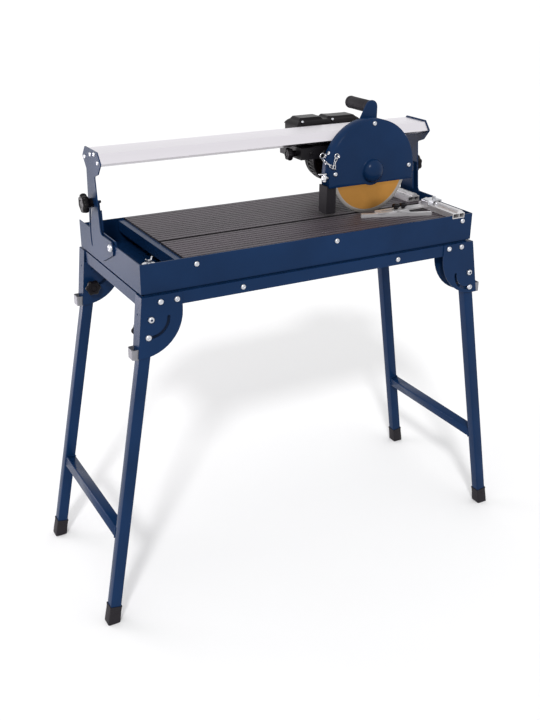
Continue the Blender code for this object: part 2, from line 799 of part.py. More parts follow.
def make_tilt_bracket(side):
    """The fixed plate inside the tray's end wall, with the tilt pin and a flange up its front edge."""
    out = SIDES[side]
    name = f"tilt_bracket_{side}"
    stud_y, stud_z = tilt_stud()
    near = out * (tray_length / 2 - tray_wall - GAP)
    far = near - out * pillar_sheet
    top = stud_z + 0.008
    shelf = tilt_z + 0.015
    front_low, front_high = stud_y - 0.030, stud_y - 0.024
    outline = rounded([
        (cut_y - 0.013, table_z - 0.038, 0.004), (stud_y + 0.022, table_z - 0.038, 0.004),
        (stud_y + 0.022, top, 0.008), (front_high, top, 0), (front_low, shelf, 0),
        (cut_y - 0.013, shelf, 0.006),
    ])
    hole = circle((stud_y, stud_z), tilt_bolt_radius + BORE_GAP, 20)
    made = plate(name, [outline, hole], "YZ", far, near)
    lip_top = stud_z - 0.012
    lip_y = front_low + (front_high - front_low) * (lip_top - shelf) / (top - shelf)
    flange = [
        (front_low - 0.0004, shelf + 0.0004), (lip_y - 0.0004, lip_top),
        (lip_y + 0.0021, lip_top), (front_low + 0.0021, shelf + 0.0004),
    ]
    lip = plate(name + "_lip", [flange], "YZ", near - out * 0.0006, near - out * 0.0055)
    pillar_face = out * (tray_length / 2 + pillar_gap + pillar_sheet)
    pin = rod(name + "_pin", tilt_pin_radius, (far - out * 0.005, cut_y, tilt_z), (pillar_face + out * 0.002, cut_y, tilt_z), sides=20)
    head = rod(
        name + "_head", 0.0075, (pillar_face + out * GAP, cut_y, tilt_z),
        (pillar_face + out * 0.005, cut_y, tilt_z), sides=20, end_radius=0.0055,
    )
    return join(made, lip, pin, head)


def make_tilt_knob(side):
    """A star knob on a long stud, which clamps the pillar to its bracket."""
    out = SIDES[side]
    stud_y, stud_z = tilt_stud()
    face = tray_length / 2 + pillar_gap + pillar_sheet + GAP
    inner = tray_length / 2 - 0.016
    stud = rod(
        f"tilt_knob_{side}", tilt_bolt_radius, (out * inner, stud_y, stud_z),
        (out * (face + 0.012), stud_y, stud_z), "black_plastic", 16,
    )
    hub = rod(
        f"tilt_hub_{side}", 0.010, (out * face, stud_y, stud_z), (out * (face + 0.009), stud_y, stud_z), sides=20
    )
    star = plate(
        f"tilt_star_{side}", [star_outline((stud_y, stud_z), tilt_knob_radius)], "YZ",
        out * (face + 0.0085), out * (face + 0.0245), "black_plastic",
    )
    return join(stud, hub, star)


# ---------------------------------------------------------------- saw head
def d_outline(radius, skirt, middle=None):
    """The guard's outline in X and Z: a half circle with straight sides down to the skirt."""
    centre = (blade_x, blade_z)
    points = arc(centre, radius, 0, math.pi, 32)
    points.append((blade_x - radius, blade_z - skirt))
    if middle:
        half = math.acos((skirt + 0.0004) / middle)
        points += arc(centre, middle, -math.pi / 2 - half, -math.pi / 2 + half, 8)
    points.append((blade_x + radius, blade_z - skirt))
    return points


def make_guard():
    """A deep shell open at the front and below, and a front cover with a domed boss."""
    pin_y, pin_z = lock_pin_place()
    shell = plate("guard_shell", [d_outline(guard_radius, guard_skirt)], "XZ", guard_y + guard_sheet + GAP, guard_back)
    inner_radius = guard_radius - guard_sheet
    hollow = plate(
        "guard_hollow", [d_outline(inner_radius, guard_skirt + 0.01)], "XZ", guard_y - 0.01, guard_back - guard_sheet
    )
    bore = rod("guard_bore", 0.020, (blade_x, guard_y, blade_z), (blade_x, guard_back + 0.01, blade_z))
    pin_hole = rod(
        "guard_pin_hole", 0.003 + BORE_GAP, (blade_x - guard_radius - 0.01, pin_y, pin_z),
        (blade_x - 0.06, pin_y, pin_z), sides=16,
    )
    cut(shell, bore, pin_hole, hollow)

    cover = plate(
        "guard_cover", [d_outline(guard_radius, guard_skirt, dome_radius + 0.008)],
        "XZ", guard_y, guard_y + guard_sheet,
    )
    domes = []
    for name, sheet, depth in (("guard_dome", 0, 0.0008), ("guard_dome_hollow", guard_sheet, 0.01)):
        profile = []
        for i in range(8):
            turn = math.pi / 2 * i / 7
            height = (dome_height - sheet) * math.cos(turn) - 0.0003
            profile.append(((dome_radius - sheet) * math.sin(turn), height))
        profile += [(dome_radius - sheet, -depth), (0, -depth)]
        domes.append(turned(name, profile, (blade_x, guard_y, blade_z), (0, -1, 0), "blue_paint"))
    join(cover, domes[0])
    return shell, cut(cover, domes[1])


def make_blade():
    """The diamond disc, and the arbor that carries it between two flanges."""
    near, far = cut_y - blade_thickness / 2, cut_y + blade_thickness / 2
    centre = (blade_x, blade_z)
    blade = plate(
        "blade", [circle(centre, blade_radius, 72), circle(centre, arbor_radius + BORE_GAP, 32)],
        "XZ", near, far, "blade_gold",
    )
    profile = [
        (0, 0.016), (0.009, 0.016), (0.010, 0.015), (0.010, 0.006), (flange_radius, 0.005),
        (flange_radius, blade_thickness / 2 + GAP), (arbor_radius, blade_thickness / 2 + GAP),
        (arbor_radius, -blade_thickness / 2 - GAP), (flange_radius, -blade_thickness / 2 - GAP),
        (flange_radius, -0.006), (0.014, -0.007), (0.014, cut_y - guard_back), (0, cut_y - guard_back),
    ]
    arbor = turned("arbor", profile, (blade_x, cut_y, blade_z), (0, -1, 0), "zinc")
    return blade, arbor


def make_carriage():
    """The block under the rail, saddled on the gear housing, with two posts up into the rail."""
    low = (blade_x - carriage_left, rail_y - carriage_width / 2, carriage_bottom)
    high = (blade_x + carriage_right, rail_y + carriage_width / 2, carriage_top)
    block = box("carriage_body", low, high, "black_steel")
    posts = []
    for i, x in enumerate(roller_places()):
        posts.append(box(
            f"carriage_post_{i}", (x - post_length / 2, rail_y - post_width / 2, carriage_top - 0.004),
            (x + post_length / 2, rail_y + post_width / 2, axle_z + 0.008), "black_steel",
        ))
    join(block, *posts)
    saddle = rod(
        "carriage_saddle", gear_radius + GAP, (blade_x, guard_back, blade_z),
        (blade_x, guard_back + 0.2, blade_z), sides=48,
    )
    bores = [
        rod(
            f"axle_bore_{i}", 0.004 + BORE_GAP, (x, rail_y - 0.03, axle_z), (x, rail_y + 0.03, axle_z), sides=16
        )
        for i, x in enumerate(roller_places())
    ]
    knob_y, knob_z = carriage_knob_place()
    thread = rod(
        "carriage_thread", 0.003 + BORE_GAP, (low[0] - 0.01, knob_y, knob_z), (low[0] + 0.024, knob_y, knob_z), sides=16
    )
    return cut(block, saddle, thread, *bores)


axle_z = rail_bottom + rail_wall + GAP + roller_radius


def roller_places():
    return blade_x - carriage_left + 0.038, blade_x + carriage_right - 0.038


def make_rollers():
    """Two axles, each with a roller on both sides of its post, running on the rail's inner lips."""
    made = []
    gap = post_width / 2 + 0.0055
    for name, x in zip(("roller_pair_left", "roller_pair_right"), roller_places()):
        reach = gap + roller_width
        half = [(0, reach), (roller_radius - 0.001, reach), (roller_radius, reach - 0.001),
                (roller_radius, gap + 0.0005), (roller_radius - 0.0005, gap), (0.004, gap)]
        profile = half + [(r, -h) for r, h in reversed(half)]
        made.append(turned(name, profile, (x, rail_y, axle_z), (0, 1, 0), "zinc", 24))
    return made


def carriage_knob_place():
    return rail_y - 0.020, carriage_bottom + 0.0105


def make_carriage_knob():
    y, z = carriage_knob_place()
    face = blade_x - carriage_left - GAP
    stud = rod("carriage_knob", 0.003, (face + 0.018, y, z), (face - 0.012, y, z), "black_plastic", 16)
    hub = rod("carriage_hub", 0.008, (face, y, z), (face - 0.009, y, z), sides=20)
    star = plate(
        "carriage_star", [star_outline((y, z), 0.0135, 6)], "YZ", face - 0.0085, face - 0.0215, "black_plastic"
    )
    return join(stud, hub, star)


def make_motor():
    """The gear housing from the guard to the motor, and the motor behind the rail."""
    near = guard_back + GAP
    far = rail_y + rail_half + 0.005
    centre = (blade_x, 0, blade_z)
    gear_profile = [
        (0, far - GAP - near), (gear_radius, far - GAP - near), (gear_radius, 0), (0, 0)
    ]
    gear = turned("gear_housing", gear_profile, (blade_x, near, blade_z), (0, 1, 0), "black_steel", 48)
    motor_profile = [
        (0, motor_length), (motor_radius, motor_length), (motor_radius, 0.004), (motor_radius - 0.004, 0), (0, 0)
    ]
    motor = turned("motor_housing", motor_profile, (blade_x, far, blade_z), (0, 1, 0), "black_plastic", 48)
    start = far + motor_length + GAP
    rim = motor_radius - 0.002
    cover_profile = [
        (0, motor_cover_length), (rim - 0.012, motor_cover_length), (rim - 0.004, motor_cover_length - 0.003),
        (rim, motor_cover_length - 0.011), (rim, 0), (0, 0),
    ]
    cover = turned("motor_end_cover", cover_profile, (blade_x, start, blade_z), (0, 1, 0), "black_plastic", 48)
    return gear, motor, cover


def make_switch_box():
    """The electrics box on the motor, with a push switch in its right end."""
    near = rail_y + rail_half + 0.0053
    low = blade_z + motor_radius + GAP
    outline = rounded([
        (near, low, 0), (near + 0.065, low, 0), (near + 0.065, low + 0.030, 0.006), (near + 0.052, low + 0.037, 0.006),
        (near + 0.010, low + 0.037, 0.004), (near, low + 0.030, 0.004),
    ])
    left, right = blade_x - 0.106, blade_x + 0.070
    case = plate("switch_box", [outline], "YZ", left, right, "black_plastic")
    place = (near + 0.032, low + 0.015)
    pocket = rod("switch_pocket", 0.0094, (right - 0.010, *place), (right + 0.01, *place))
    cut(case, pocket)
    button = rod("switch_button", 0.009, (right - 0.0055, *place), (right + 0.003, *place), "black_plastic")
    return case, button


def make_handle():
    """A steel plate bolted behind the guard, and the rubber grip that stands out of it."""
    x, z = blade_x + handle_along, blade_z + handle_height
    radius = handle_plate_radius
    low = blade_z + gear_radius + 0.008
    outline = arc((x, z), radius, 0, math.radians(155), 10)
    outline += [(x - 0.050, z - 0.062), (x - 0.050, low), (x + radius, low)]
    near = guard_back + GAP
    mount = plate("handle_plate", [outline], "XZ", near, near + handle_sheet)
    start = near + handle_sheet + GAP
    end = start + grip_length
    profile = [
        (0, grip_length), (grip_radius - 0.003, grip_length), (grip_radius, grip_length - 0.003),
        (grip_radius, 0.002), (grip_radius - 0.002, 0), (0, 0),
    ]
    grip = turned("handle_grip", profile, (x, start, z), (0, 1, 0), "rubber", 28)
    return mount, grip


def make_splash_flap():
    """A rubber flap at the guard's left foot, folded round its corner down to the table."""
    side = blade_x - guard_radius - GAP
    front = cut_y - 0.007
    low = table_z + 0.008
    sheet = 0.003
    skirt = blade_z - guard_skirt - GAP
    flap = box("splash_flap", (side - sheet, front, low), (side, cut_y + 0.026, skirt + 0.004), "rubber")
    toe = box("flap_toe", (side - sheet + 0.0005, front - 0.0002, low + 0.0002), (side + 0.021, front + sheet, skirt), "rubber")
    return join(flap, toe)


def tap_place():
    return blade_x - guard_radius - 0.0095, cut_y - 0.005, blade_z - 0.0105


def make_water_tap():
    """The water tap on the guard's side: a barrel on a short boss, and its lever on top."""
    x, y, z = tap_place()
    barrel = rod("water_tap", 0.0065, (x, y, z - 0.0035), (x, y, z + 0.012), "zinc", 20)
    boss = rod("tap_boss", 0.003, (x, y, z + 0.004), (blade_x - guard_radius - GAP, y, z + 0.004), sides=16)
    join(barrel, boss)
    top = z + 0.012 + GAP
    lever_outline = rounded([(x - 0.015, y - 0.0035, 0.003), (x + 0.005, y - 0.005, 0.004),
                             (x + 0.005, y + 0.005, 0.004), (x - 0.015, y + 0.0035, 0.003)])
    lever = plate("tap_lever", [lever_outline], "XY", top, top + 0.003, "zinc")
    return barrel, lever


def lock_pin_place():
    return guard_back - guard_sheet - 0.0045, blade_z + 0.038


def make_lock_pin():
    """The transport pin in the guard's rim, with the eye that its chain hooks into."""
    y, z = lock_pin_place()
    rim_x = blade_x - math.sqrt(guard_radius**2 - (z - blade_z) ** 2)
    pin = rod("lock_pin", 0.003, (rim_x - 0.0035, y, z), (rim_x + 0.006, y, z), "zinc", 16)
    eye = plate(
        "pin_eye", [circle((rim_x - 0.0085, z), 0.0072, 20), circle((rim_x - 0.0085, z), 0.0042, 16)],
        "XZ", y - 0.0015, y + 0.0015, "zinc",
    )
    return join(pin, eye)


def make_head():
    """The rail with everything that tilts, slides and spins on it."""
    tilt = body("rail_tilt", (0, cut_y, tilt_z), make_rail(), make_pillar("left"), make_pillar("right"))
    shell, cover = make_guard()
    flap = make_splash_flap()
    barrel, lever = make_water_tap()
    case, button = make_switch_box()
    plate_piece, grip = make_handle()
    block = make_carriage()
    slide = body(
        "carriage", (blade_x, rail_y, carriage_top), block, *make_motor(), case, shell, cover,
        plate_piece, grip, flap, barrel, parent=tilt,
    )
    body("blade_spin", (blade_x, cut_y, blade_z), *make_blade(), parent=slide)
    for x, rollers in zip(roller_places(), make_rollers()):
        body(rollers.name + "_axle", (x, rail_y, axle_z), rollers, parent=slide)
    body("carriage_lock", (blade_x - carriage_left, *carriage_knob_place()), make_carriage_knob(), parent=slide)
    body("tap_turn", tap_place(), lever, parent=slide)
    body("switch_press", (blade_x + 0.070, rail_y + rail_half + 0.037, blade_z + motor_radius + 0.0153), button, parent=slide)
    y, z = lock_pin_place()
    body("pin_pull", (blade_x - guard_radius, y, z), make_lock_pin(), parent=slide)


# ---------------------------------------------------------------- fence and angle stop
fence_x = right_end - fence_from_right
fence_top = table_z + GAP + fence_height
fence_inner_end = cut_y - fence_gap / 2


def fence_outline():
    """The fence seen from its end: two chambers under a flat top with a round ridge."""
    low, high = table_z + GAP, fence_top
    ridge = arc((fence_x + 0.020, high - 0.0015), 0.0085, math.radians(10), math.radians(170), 8)
    outside = [(fence_x, low), (fence_x + fence_width, low), (fence_x + fence_width, high)]
    outside += ridge + [(fence_x, high)]
    sheet = 0.0016
    middle = fence_x + 0.018
    chambers = []
    for start, end in ((fence_x + sheet, middle - sheet / 2), (middle + sheet / 2, fence_x + fence_width - sheet)):
        chambers.append([(start, low + sheet), (end, low + sheet), (end, high - sheet), (start, high - sheet)])
    return [outside, *chambers]


def make_fence():
    runs = {
        "fence_front": (front_side + 0.0002, fence_inner_end),
        "fence_back": (cut_y + fence_gap / 2, back_side - tray_wall - 0.003),
    }
    for name, (near, far) in runs.items():
        plate(name, fence_outline(), "XZ", near, far, "aluminium")


stop_y = front_side + 0.097
stop_bar_top = table_z + 0.0080
stop_arm_z = stop_bar_top + GAP
swivel_x = fence_x - 0.068
bar_angle = math.radians(-20)


def make_angle_stop():
    """A clamp on the fence's ridge with a slotted arm, and a bar that swivels on the arm."""
    top = fence_top + 0.0075
    clamp = plate(
        "stop_clamp",
        [rounded([
            (fence_x - 0.006, stop_arm_z + 0.0033, 0), (fence_x - 0.0004, stop_arm_z + 0.0033, 0), (fence_x - 0.0004, fence_top + 0.0004, 0),
            (fence_x + 0.0095, fence_top + 0.0004, 0), (fence_x + 0.0095, top, 0), (fence_x + 0.0305, top, 0),
            (fence_x + 0.0305, fence_top + 0.0004, 0), (fence_x + 0.0335, fence_top + 0.0004, 0),
            (fence_x + 0.0335, top + 0.003, 0.002), (fence_x - 0.006, top + 0.003, 0.003),
        ], 3)],
        "XZ", stop_y - 0.012, stop_y + 0.014, "zinc",
    )
    screw = rod(
        "clamp_screw", 0.004, (fence_x + 0.020, stop_y, top + 0.001), (fence_x + 0.020, stop_y, top + 0.009), sides=16
    )
    join(clamp, screw)
    slot_near, slot_far = swivel_x - 0.062, swivel_x - 0.010
    arm_outline = rounded([
        (swivel_x - 0.074, stop_y - 0.013, 0.008), (fence_x - 0.001, stop_y - 0.011, 0),
        (fence_x - 0.001, stop_y + 0.013, 0), (swivel_x - 0.074, stop_y + 0.013, 0.008),
    ])
    slot = rounded([
        (slot_near, stop_y - 0.0035, 0.003), (slot_far, stop_y - 0.0035, 0.003),
        (slot_far, stop_y + 0.0035, 0.003), (slot_near, stop_y + 0.0035, 0.003),
    ])
    hole = circle((swivel_x, stop_y), 0.003 + BORE_GAP, 16)
    arm = plate("stop_arm", [arm_outline, slot, hole], "XY", stop_arm_z, stop_arm_z + 0.003, "aluminium")

    turn = Matrix.Translation((swivel_x, stop_y, 0)) @ Matrix.Rotation(bar_angle, 4, "Z")
    bar = box(
        "stop_bar", (-0.1045, -0.0305, table_z + GAP), (0.0595, -0.0220, stop_bar_top), "aluminium"
    )
    tongue = plate(
        "stop_tongue",
        [rounded([(-0.012, -0.0235, 0), (0.012, -0.0235, 0), (0.012, 0.010, 0.008), (-0.012, 0.010, 0.008)]),
         circle((0, 0), 0.003 + BORE_GAP, 16)],
        "XY", stop_bar_top - 0.0035, stop_bar_top - 0.0002, "aluminium",
    )
    join(bar, tongue)
    for piece in (bar, tongue):
        piece.data.transform(turn)

    knobs = []
    for name, x in (("stop_knob_swivel", swivel_x), ("stop_knob_slot", swivel_x - 0.020)):
        base = stop_arm_z + 0.003 + GAP
        shank_low = stop_bar_top - 0.0028 if name == "stop_knob_swivel" else stop_arm_z + 0.0005
        shank = rod(name, 0.0029, (x, stop_y, shank_low), (x, stop_y, base + 0.006), "black_plastic", 16)
        grip = plate(
            name + "_star", [star_outline((x, stop_y), 0.009, 6)], "XY", base, base + 0.012, "black_plastic"
        )
        knobs.append(join(shank, grip))
    slide = body("stop_slide", (fence_x, stop_y, fence_top), clamp, arm)
    body("stop_swivel", (swivel_x, stop_y, stop_arm_z), bar, parent=slide)
    body("swivel_lock", (swivel_x, stop_y, stop_arm_z), knobs[0], parent=slide)
    body("slot_lock", (swivel_x - 0.020, stop_y, stop_arm_z), knobs[1], parent=slide)


# ---------------------------------------------------------------- the whole machine
def main():
    make_tray()
    make_tables()
    make_table_support()
    make_underframe()
    make_legs()
    for side in SIDES:
        make_tilt_bracket(side)
        stud_y, stud_z = tilt_stud()
        body(f"{side}_tilt_lock", (SIDES[side] * tray_length / 2, stud_y, stud_z), make_tilt_knob(side))
    make_head()
    make_fence()
    make_angle_stop()
    body("drain_turn", (*drain_place, tray_bottom), make_drain_plug())
    bpy.context.view_layer.update()


main()
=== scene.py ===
# %% [markdown]
# A radial wet tile cutter. The saw head slides along an aluminium rail, over ribbed tables in a
# water tray, and the whole machine stands on two pairs of folding legs. The solid model is
# imported first and stays where it is. It gives every place and size used below, and the cells
# after it add the rounded, turned and threaded things that a plain solid model leaves out.

# %% Load the model and look at its size
import json
import math

import bmesh
import bpy
import numpy as np
from mathutils import Matrix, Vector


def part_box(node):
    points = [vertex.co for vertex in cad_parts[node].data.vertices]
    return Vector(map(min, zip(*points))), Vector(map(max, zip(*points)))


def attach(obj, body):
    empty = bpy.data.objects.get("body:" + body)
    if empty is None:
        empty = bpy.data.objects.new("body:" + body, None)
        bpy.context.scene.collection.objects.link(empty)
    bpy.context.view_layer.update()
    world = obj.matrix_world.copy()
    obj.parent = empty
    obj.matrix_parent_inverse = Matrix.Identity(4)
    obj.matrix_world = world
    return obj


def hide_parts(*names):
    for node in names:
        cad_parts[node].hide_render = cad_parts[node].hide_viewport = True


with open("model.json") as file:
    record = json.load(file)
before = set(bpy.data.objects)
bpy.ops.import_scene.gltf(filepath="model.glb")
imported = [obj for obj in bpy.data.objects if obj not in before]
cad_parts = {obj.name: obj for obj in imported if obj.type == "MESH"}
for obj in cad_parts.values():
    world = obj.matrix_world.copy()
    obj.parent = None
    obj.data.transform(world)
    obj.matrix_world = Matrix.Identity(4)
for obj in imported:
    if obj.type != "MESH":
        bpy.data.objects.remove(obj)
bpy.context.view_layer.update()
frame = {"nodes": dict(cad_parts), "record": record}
nodes = frame["nodes"]
joints = {joint["name"]: joint for joint in frame["record"]["behaviour"]["joints"]}

# %% [markdown]
# The camera stands to the left of the machine and a little above the rail, looking down at it.
# It is placed first, so that every later choice of detail can be judged from where it is seen.
# A camera looks along its own -Z, so its matrix is built from three directions: right, up and
# back towards the viewer.

# %% The camera
view_az, view_el, view_roll = math.radians(-28.9), math.radians(24.2), math.radians(0.4)
back = np.array([math.sin(view_az) * math.cos(view_el), -math.cos(view_az) * math.cos(view_el),
    math.sin(view_el)])
right = np.array([math.cos(view_az), math.sin(view_az), 0.0])
above = np.cross(back, right)
turned_right = math.cos(view_roll) * right + math.sin(view_roll) * above
turned_up = -math.sin(view_roll) * right + math.cos(view_roll) * above
camera_data = bpy.data.cameras.new("camera")
camera_data.sensor_fit = "VERTICAL"
camera_data.sensor_height = 36
camera_data.lens = 46.97
camera = bpy.data.objects.new("camera", camera_data)
place = np.eye(4)
place[:3, :3] = np.column_stack([turned_right, turned_up, back])
place[:3, 3] = (-1.0068, -1.7861, 1.3619)
camera.matrix_world = Matrix(place.tolist())
bpy.context.scene.collection.objects.link(camera)
bpy.context.scene.camera = camera

# %% [markdown]
# A new piece here is a surface: a grid of points worked out as one array, whose faces join each
# point to its neighbours. Doing it with arrays keeps the formula in sight. One helper turns a
# grid into points and faces, and another turns several such surfaces into one object that rides
# on a body of the machine.

# %% Grids, pieces and the directions they stand in
def grid(points, wrap_rows=False, wrap_columns=False):
    """Points (rows, columns, 3) and the faces that join each one to its next row and column."""
    rows, columns = points.shape[:2]
    row = np.arange(rows if wrap_rows else rows - 1)[:, None]
    column = np.arange(columns if wrap_columns else columns - 1)[None, :]
    next_row, next_column = (row + 1) % rows, (column + 1) % columns
    corners = [row * columns + column, next_row * columns + column,
               next_row * columns + next_column, row * columns + next_column]
    return points.reshape(-1, 3), np.stack(corners, -1).reshape(-1, 4)


def capped(points):
    """The grid with its first and last rows drawn together to their middles, which closes its ends."""
    first = np.repeat(points[:1].mean(axis=1, keepdims=True), points.shape[1], axis=1)
    last = np.repeat(points[-1:].mean(axis=1, keepdims=True), points.shape[1], axis=1)
    return np.concatenate([first, points, last])


def piece(name, surfaces, material, body, sharp=38):
    """One object from several surfaces, with doubled points merged and all faces turned outwards."""
    starts = np.cumsum([0] + [len(points) for points, _ in surfaces[:-1]])
    points = np.concatenate([points for points, _ in surfaces])
    faces = np.concatenate([faces + start for (_, faces), start in zip(surfaces, starts)])
    mesh = bpy.data.meshes.new(name)
    mesh.from_pydata(points.tolist(), [], faces.tolist())
    tidy = bmesh.new()
    tidy.from_mesh(mesh)
    bmesh.ops.remove_doubles(tidy, verts=tidy.verts, dist=2e-6)
    bmesh.ops.recalc_face_normals(tidy, faces=tidy.faces)
    tidy.to_mesh(mesh)
    tidy.free()
    mesh.shade_smooth()
    mesh.set_sharp_from_angle(angle=math.radians(sharp))
    mesh.materials.append(material)
    made = bpy.data.objects.new(name, mesh)
    bpy.context.scene.collection.objects.link(made)
    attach(made, body)
    return made


def directions(along, side=None):
    """Three unit directions as rows: two across, and the one along."""
    along = np.asarray(along, float) / np.linalg.norm(along)
    hint = np.array([0.0, 0.0, 1.0]) if side is None else np.asarray(side, float)
    if abs(along @ hint) > 0.95:
        hint = np.array([1.0, 0.0, 0.0])
    across = np.cross(hint, along)
    across /= np.linalg.norm(across)
    return np.stack([across, np.cross(along, across), along])


def turned(profile, centre, along, sides=40, lobes=0, depth=0.0):
    """A turned surface: each (radius, height) of the profile is carried round the axis.

    With lobes, the radius is also multiplied by 1 + depth times the cosine of lobes times the
    angle, and that swelling fades out towards the middle.
    """
    profile = np.asarray(profile, float)
    angle = np.linspace(0, 2 * np.pi, sides, endpoint=False)
    radius, height = profile[:, :1], profile[:, 1:]
    fade = np.clip((radius / radius.max() - 0.45) / 0.45, 0, 1)
    reach = radius * (1 + depth * fade * np.cos(lobes * angle))
    local = np.stack([reach * np.cos(angle), reach * np.sin(angle), height + 0 * angle], -1)
    return grid(np.asarray(centre) + local @ directions(along), wrap_columns=True)


def tube(path, radius, normal, closed=False, sides=10):
    """A round rod along a path that lies in one plane, whose normal is given.

    Each ring is the path's point plus radius times cosine times the side direction plus radius
    times sine times the normal.
    """
    path = np.asarray(path, float)
    before, after = np.roll(path, 1, axis=0), np.roll(path, -1, axis=0)
    if not closed:
        before[0], after[-1] = path[0], path[-1]
    tangent = after - before
    tangent /= np.linalg.norm(tangent, axis=1, keepdims=True)
    normal = np.asarray(normal, float) / np.linalg.norm(normal)
    side = np.cross(tangent, normal)
    angle = np.linspace(0, 2 * np.pi, sides, endpoint=False)[None, :, None]
    rings = path[:, None] + radius * (np.cos(angle) * side[:, None] + np.sin(angle) * normal)
    return grid(rings, True, True) if closed else grid(capped(rings), wrap_columns=True)


def rounded_square(half_a, half_b, radius, steps=5):
    """A rectangle's outline with round corners: four quarter circles joined by straight sides."""
    quarter = np.linspace(0, np.pi / 2, steps)
    turn = (np.arange(4)[:, None] * np.pi / 2 + quarter).ravel()
    signs = np.repeat(np.array([[1, 1], [-1, 1], [-1, -1], [1, -1]]), steps, axis=0)
    return signs * (half_a - radius, half_b - radius) + radius * np.column_stack([np.cos(turn),
        np.sin(turn)])


def prism(outline, centre, across, up, along, near, far, edge=0.0005):
    """An outline carried along a direction, with its two rims drawn in a little to round them.

    The rows shrink by the edge's width at both ends, so that the rims catch the light.
    """
    outline = np.asarray(outline, float)
    middle = outline.mean(axis=0)
    reach = np.abs(outline - middle).max()
    share = 1 - edge / reach
    steps = [(share, near), (1, near + edge), (1, far - edge), (share, far)]
    axes = np.stack([across, up, along]).astype(float)
    rows = [np.column_stack([middle + (outline - middle) * s, np.full(len(outline), h)]) for s, h in steps]
    return grid(capped(np.asarray(centre) + np.stack(rows) @ axes), wrap_columns=True)


# %% [markdown]
# Paint, aluminium, plastic, rubber and plated steel are all made from noise at two scales: a
# broad one that shifts the colour and the gloss a little, and a fine one that only bumps the
# surface. Small numbers are enough, because real finishes vary by a few percent. One helper
# holds that recipe, and each finish then adds what is its own.

# %% A helper for the finishes
def finish(name, colour, rough, metallic=0.0, spread=0.15, scale=9.0, grain=900.0, bump=0.04,
    stretch=(1, 1, 1), shine=0.5):
    """A finish whose colour and gloss drift with broad noise, and whose surface carries fine grain."""
    material = bpy.data.materials.new(name)
    material.use_nodes = True
    tree = material.node_tree
    shader = tree.nodes["Principled BSDF"]
    shader.inputs["Metallic"].default_value = metallic
    shader.inputs["Specular IOR Level"].default_value = shine
    where = tree.nodes.new("ShaderNodeTexCoord")
    mapping = tree.nodes.new("ShaderNodeMapping")
    mapping.inputs["Scale"].default_value = stretch
    tree.links.new(where.outputs["Object"], mapping.inputs["Vector"])
    broad = tree.nodes.new("ShaderNodeTexNoise")
    broad.inputs["Scale"].default_value = scale
    broad.inputs["Detail"].default_value = 4
    tree.links.new(mapping.outputs["Vector"], broad.inputs["Vector"])
    ramp = tree.nodes.new("ShaderNodeValToRGB")
    low, high = (tuple(c * (1 + s) for c in colour) for s in (-spread, spread))
    ramp.color_ramp.elements[0].position = 0.35
    ramp.color_ramp.elements[1].position = 0.65
    ramp.color_ramp.elements[0].color = (*low, 1)
    ramp.color_ramp.elements[1].color = (*high, 1)
    tree.links.new(broad.outputs["Fac"], ramp.inputs["Fac"])
    tree.links.new(ramp.outputs["Color"], shader.inputs["Base Color"])
    gloss = tree.nodes.new("ShaderNodeMapRange")
    gloss.inputs["To Min"].default_value = rough * 0.85
    gloss.inputs["To Max"].default_value = rough * 1.15
    tree.links.new(broad.outputs["Fac"], gloss.inputs["Value"])
    tree.links.new(gloss.outputs["Result"], shader.inputs["Roughness"])
    fine = tree.nodes.new("ShaderNodeTexNoise")
    fine.inputs["Scale"].default_value = grain
    fine.inputs["Detail"].default_value = 3
    tree.links.new(mapping.outputs["Vector"], fine.inputs["Vector"])
    relief = tree.nodes.new("ShaderNodeBump")
    relief.inputs["Strength"].default_value = bump
    relief.inputs["Distance"].default_value = 0.0005
    tree.links.new(fine.outputs["Fac"], relief.inputs["Height"])
    tree.links.new(relief.outputs["Normal"], shader.inputs["Normal"])
    return material


def node_of(material, kind):
    """The first node of that kind in a material."""
    return next(node for node in material.node_tree.nodes if node.bl_idname == kind)


# %% [markdown]
# Navy powder coat covers almost all of the steel. It is a smooth dark enamel with a faint
# orange-peel. Its own reflection is weak face on, and grows fast at low angles, so the ends of
# the machine look pale where they mirror the bright floor, and its front stays deep navy.

# %% Navy powder coat and black paint
navy = finish("navy_powder_coat", (0.0038, 0.0195, 0.0630), 0.25, spread=0.10, grain=420, bump=0.05,
    shine=0.10)
black_paint = finish("black_paint", (0.0055, 0.0048, 0.0062), 0.36, spread=0.15, grain=500, bump=0.05,
    shine=0.18)
print("paints made")

# %% [markdown]
# The rail and the fence are drawn aluminium. Drawing leaves fine lines along the length, so the
# noise is stretched along X: a small scale along the length and a large one across it. The
# blade's core is steel with a gold coating that was brushed while the disc turned.

# %% Aluminium, zinc and chrome
rail_metal = finish("drawn_aluminium", (0.74, 0.715, 0.755), 0.34, 1.0, 0.04, 6, 260, 0.10,
    (0.04, 1.6, 1.6))
fence_metal = finish("fence_aluminium", (0.62, 0.61, 0.62), 0.42, 0.75, 0.05, 8, 300, 0.10,
    (1.6, 0.05, 1.6))
zinc = finish("zinc_plate", (0.56, 0.57, 0.60), 0.30, 1.0, 0.10, 60, 1500, 0.05)
chrome = finish("chrome_plate", (0.70, 0.70, 0.72), 0.16, 1.0, 0.04, 60, 1500, 0.02)
clip_grey = finish("grey_spring_steel", (0.21, 0.21, 0.23), 0.42, 0.6, 0.10, 40, 900, 0.05)

# %% [markdown]
# Moulded plastic and rubber are almost the same black. What tells them apart is the gloss: the
# knobs and motor covers have a soft satin grain, while the feet, the grip and the splash flap
# are dull.

# %% Plastic and rubber
plastic = finish("moulded_plastic", (0.0048, 0.0038, 0.0052), 0.34, spread=0.2, grain=1300, bump=0.12,
    shine=0.12)
rubber = finish("black_rubber", (0.0110, 0.0092, 0.0125), 0.62, spread=0.2, grain=1100, bump=0.16,
    shine=0.22)

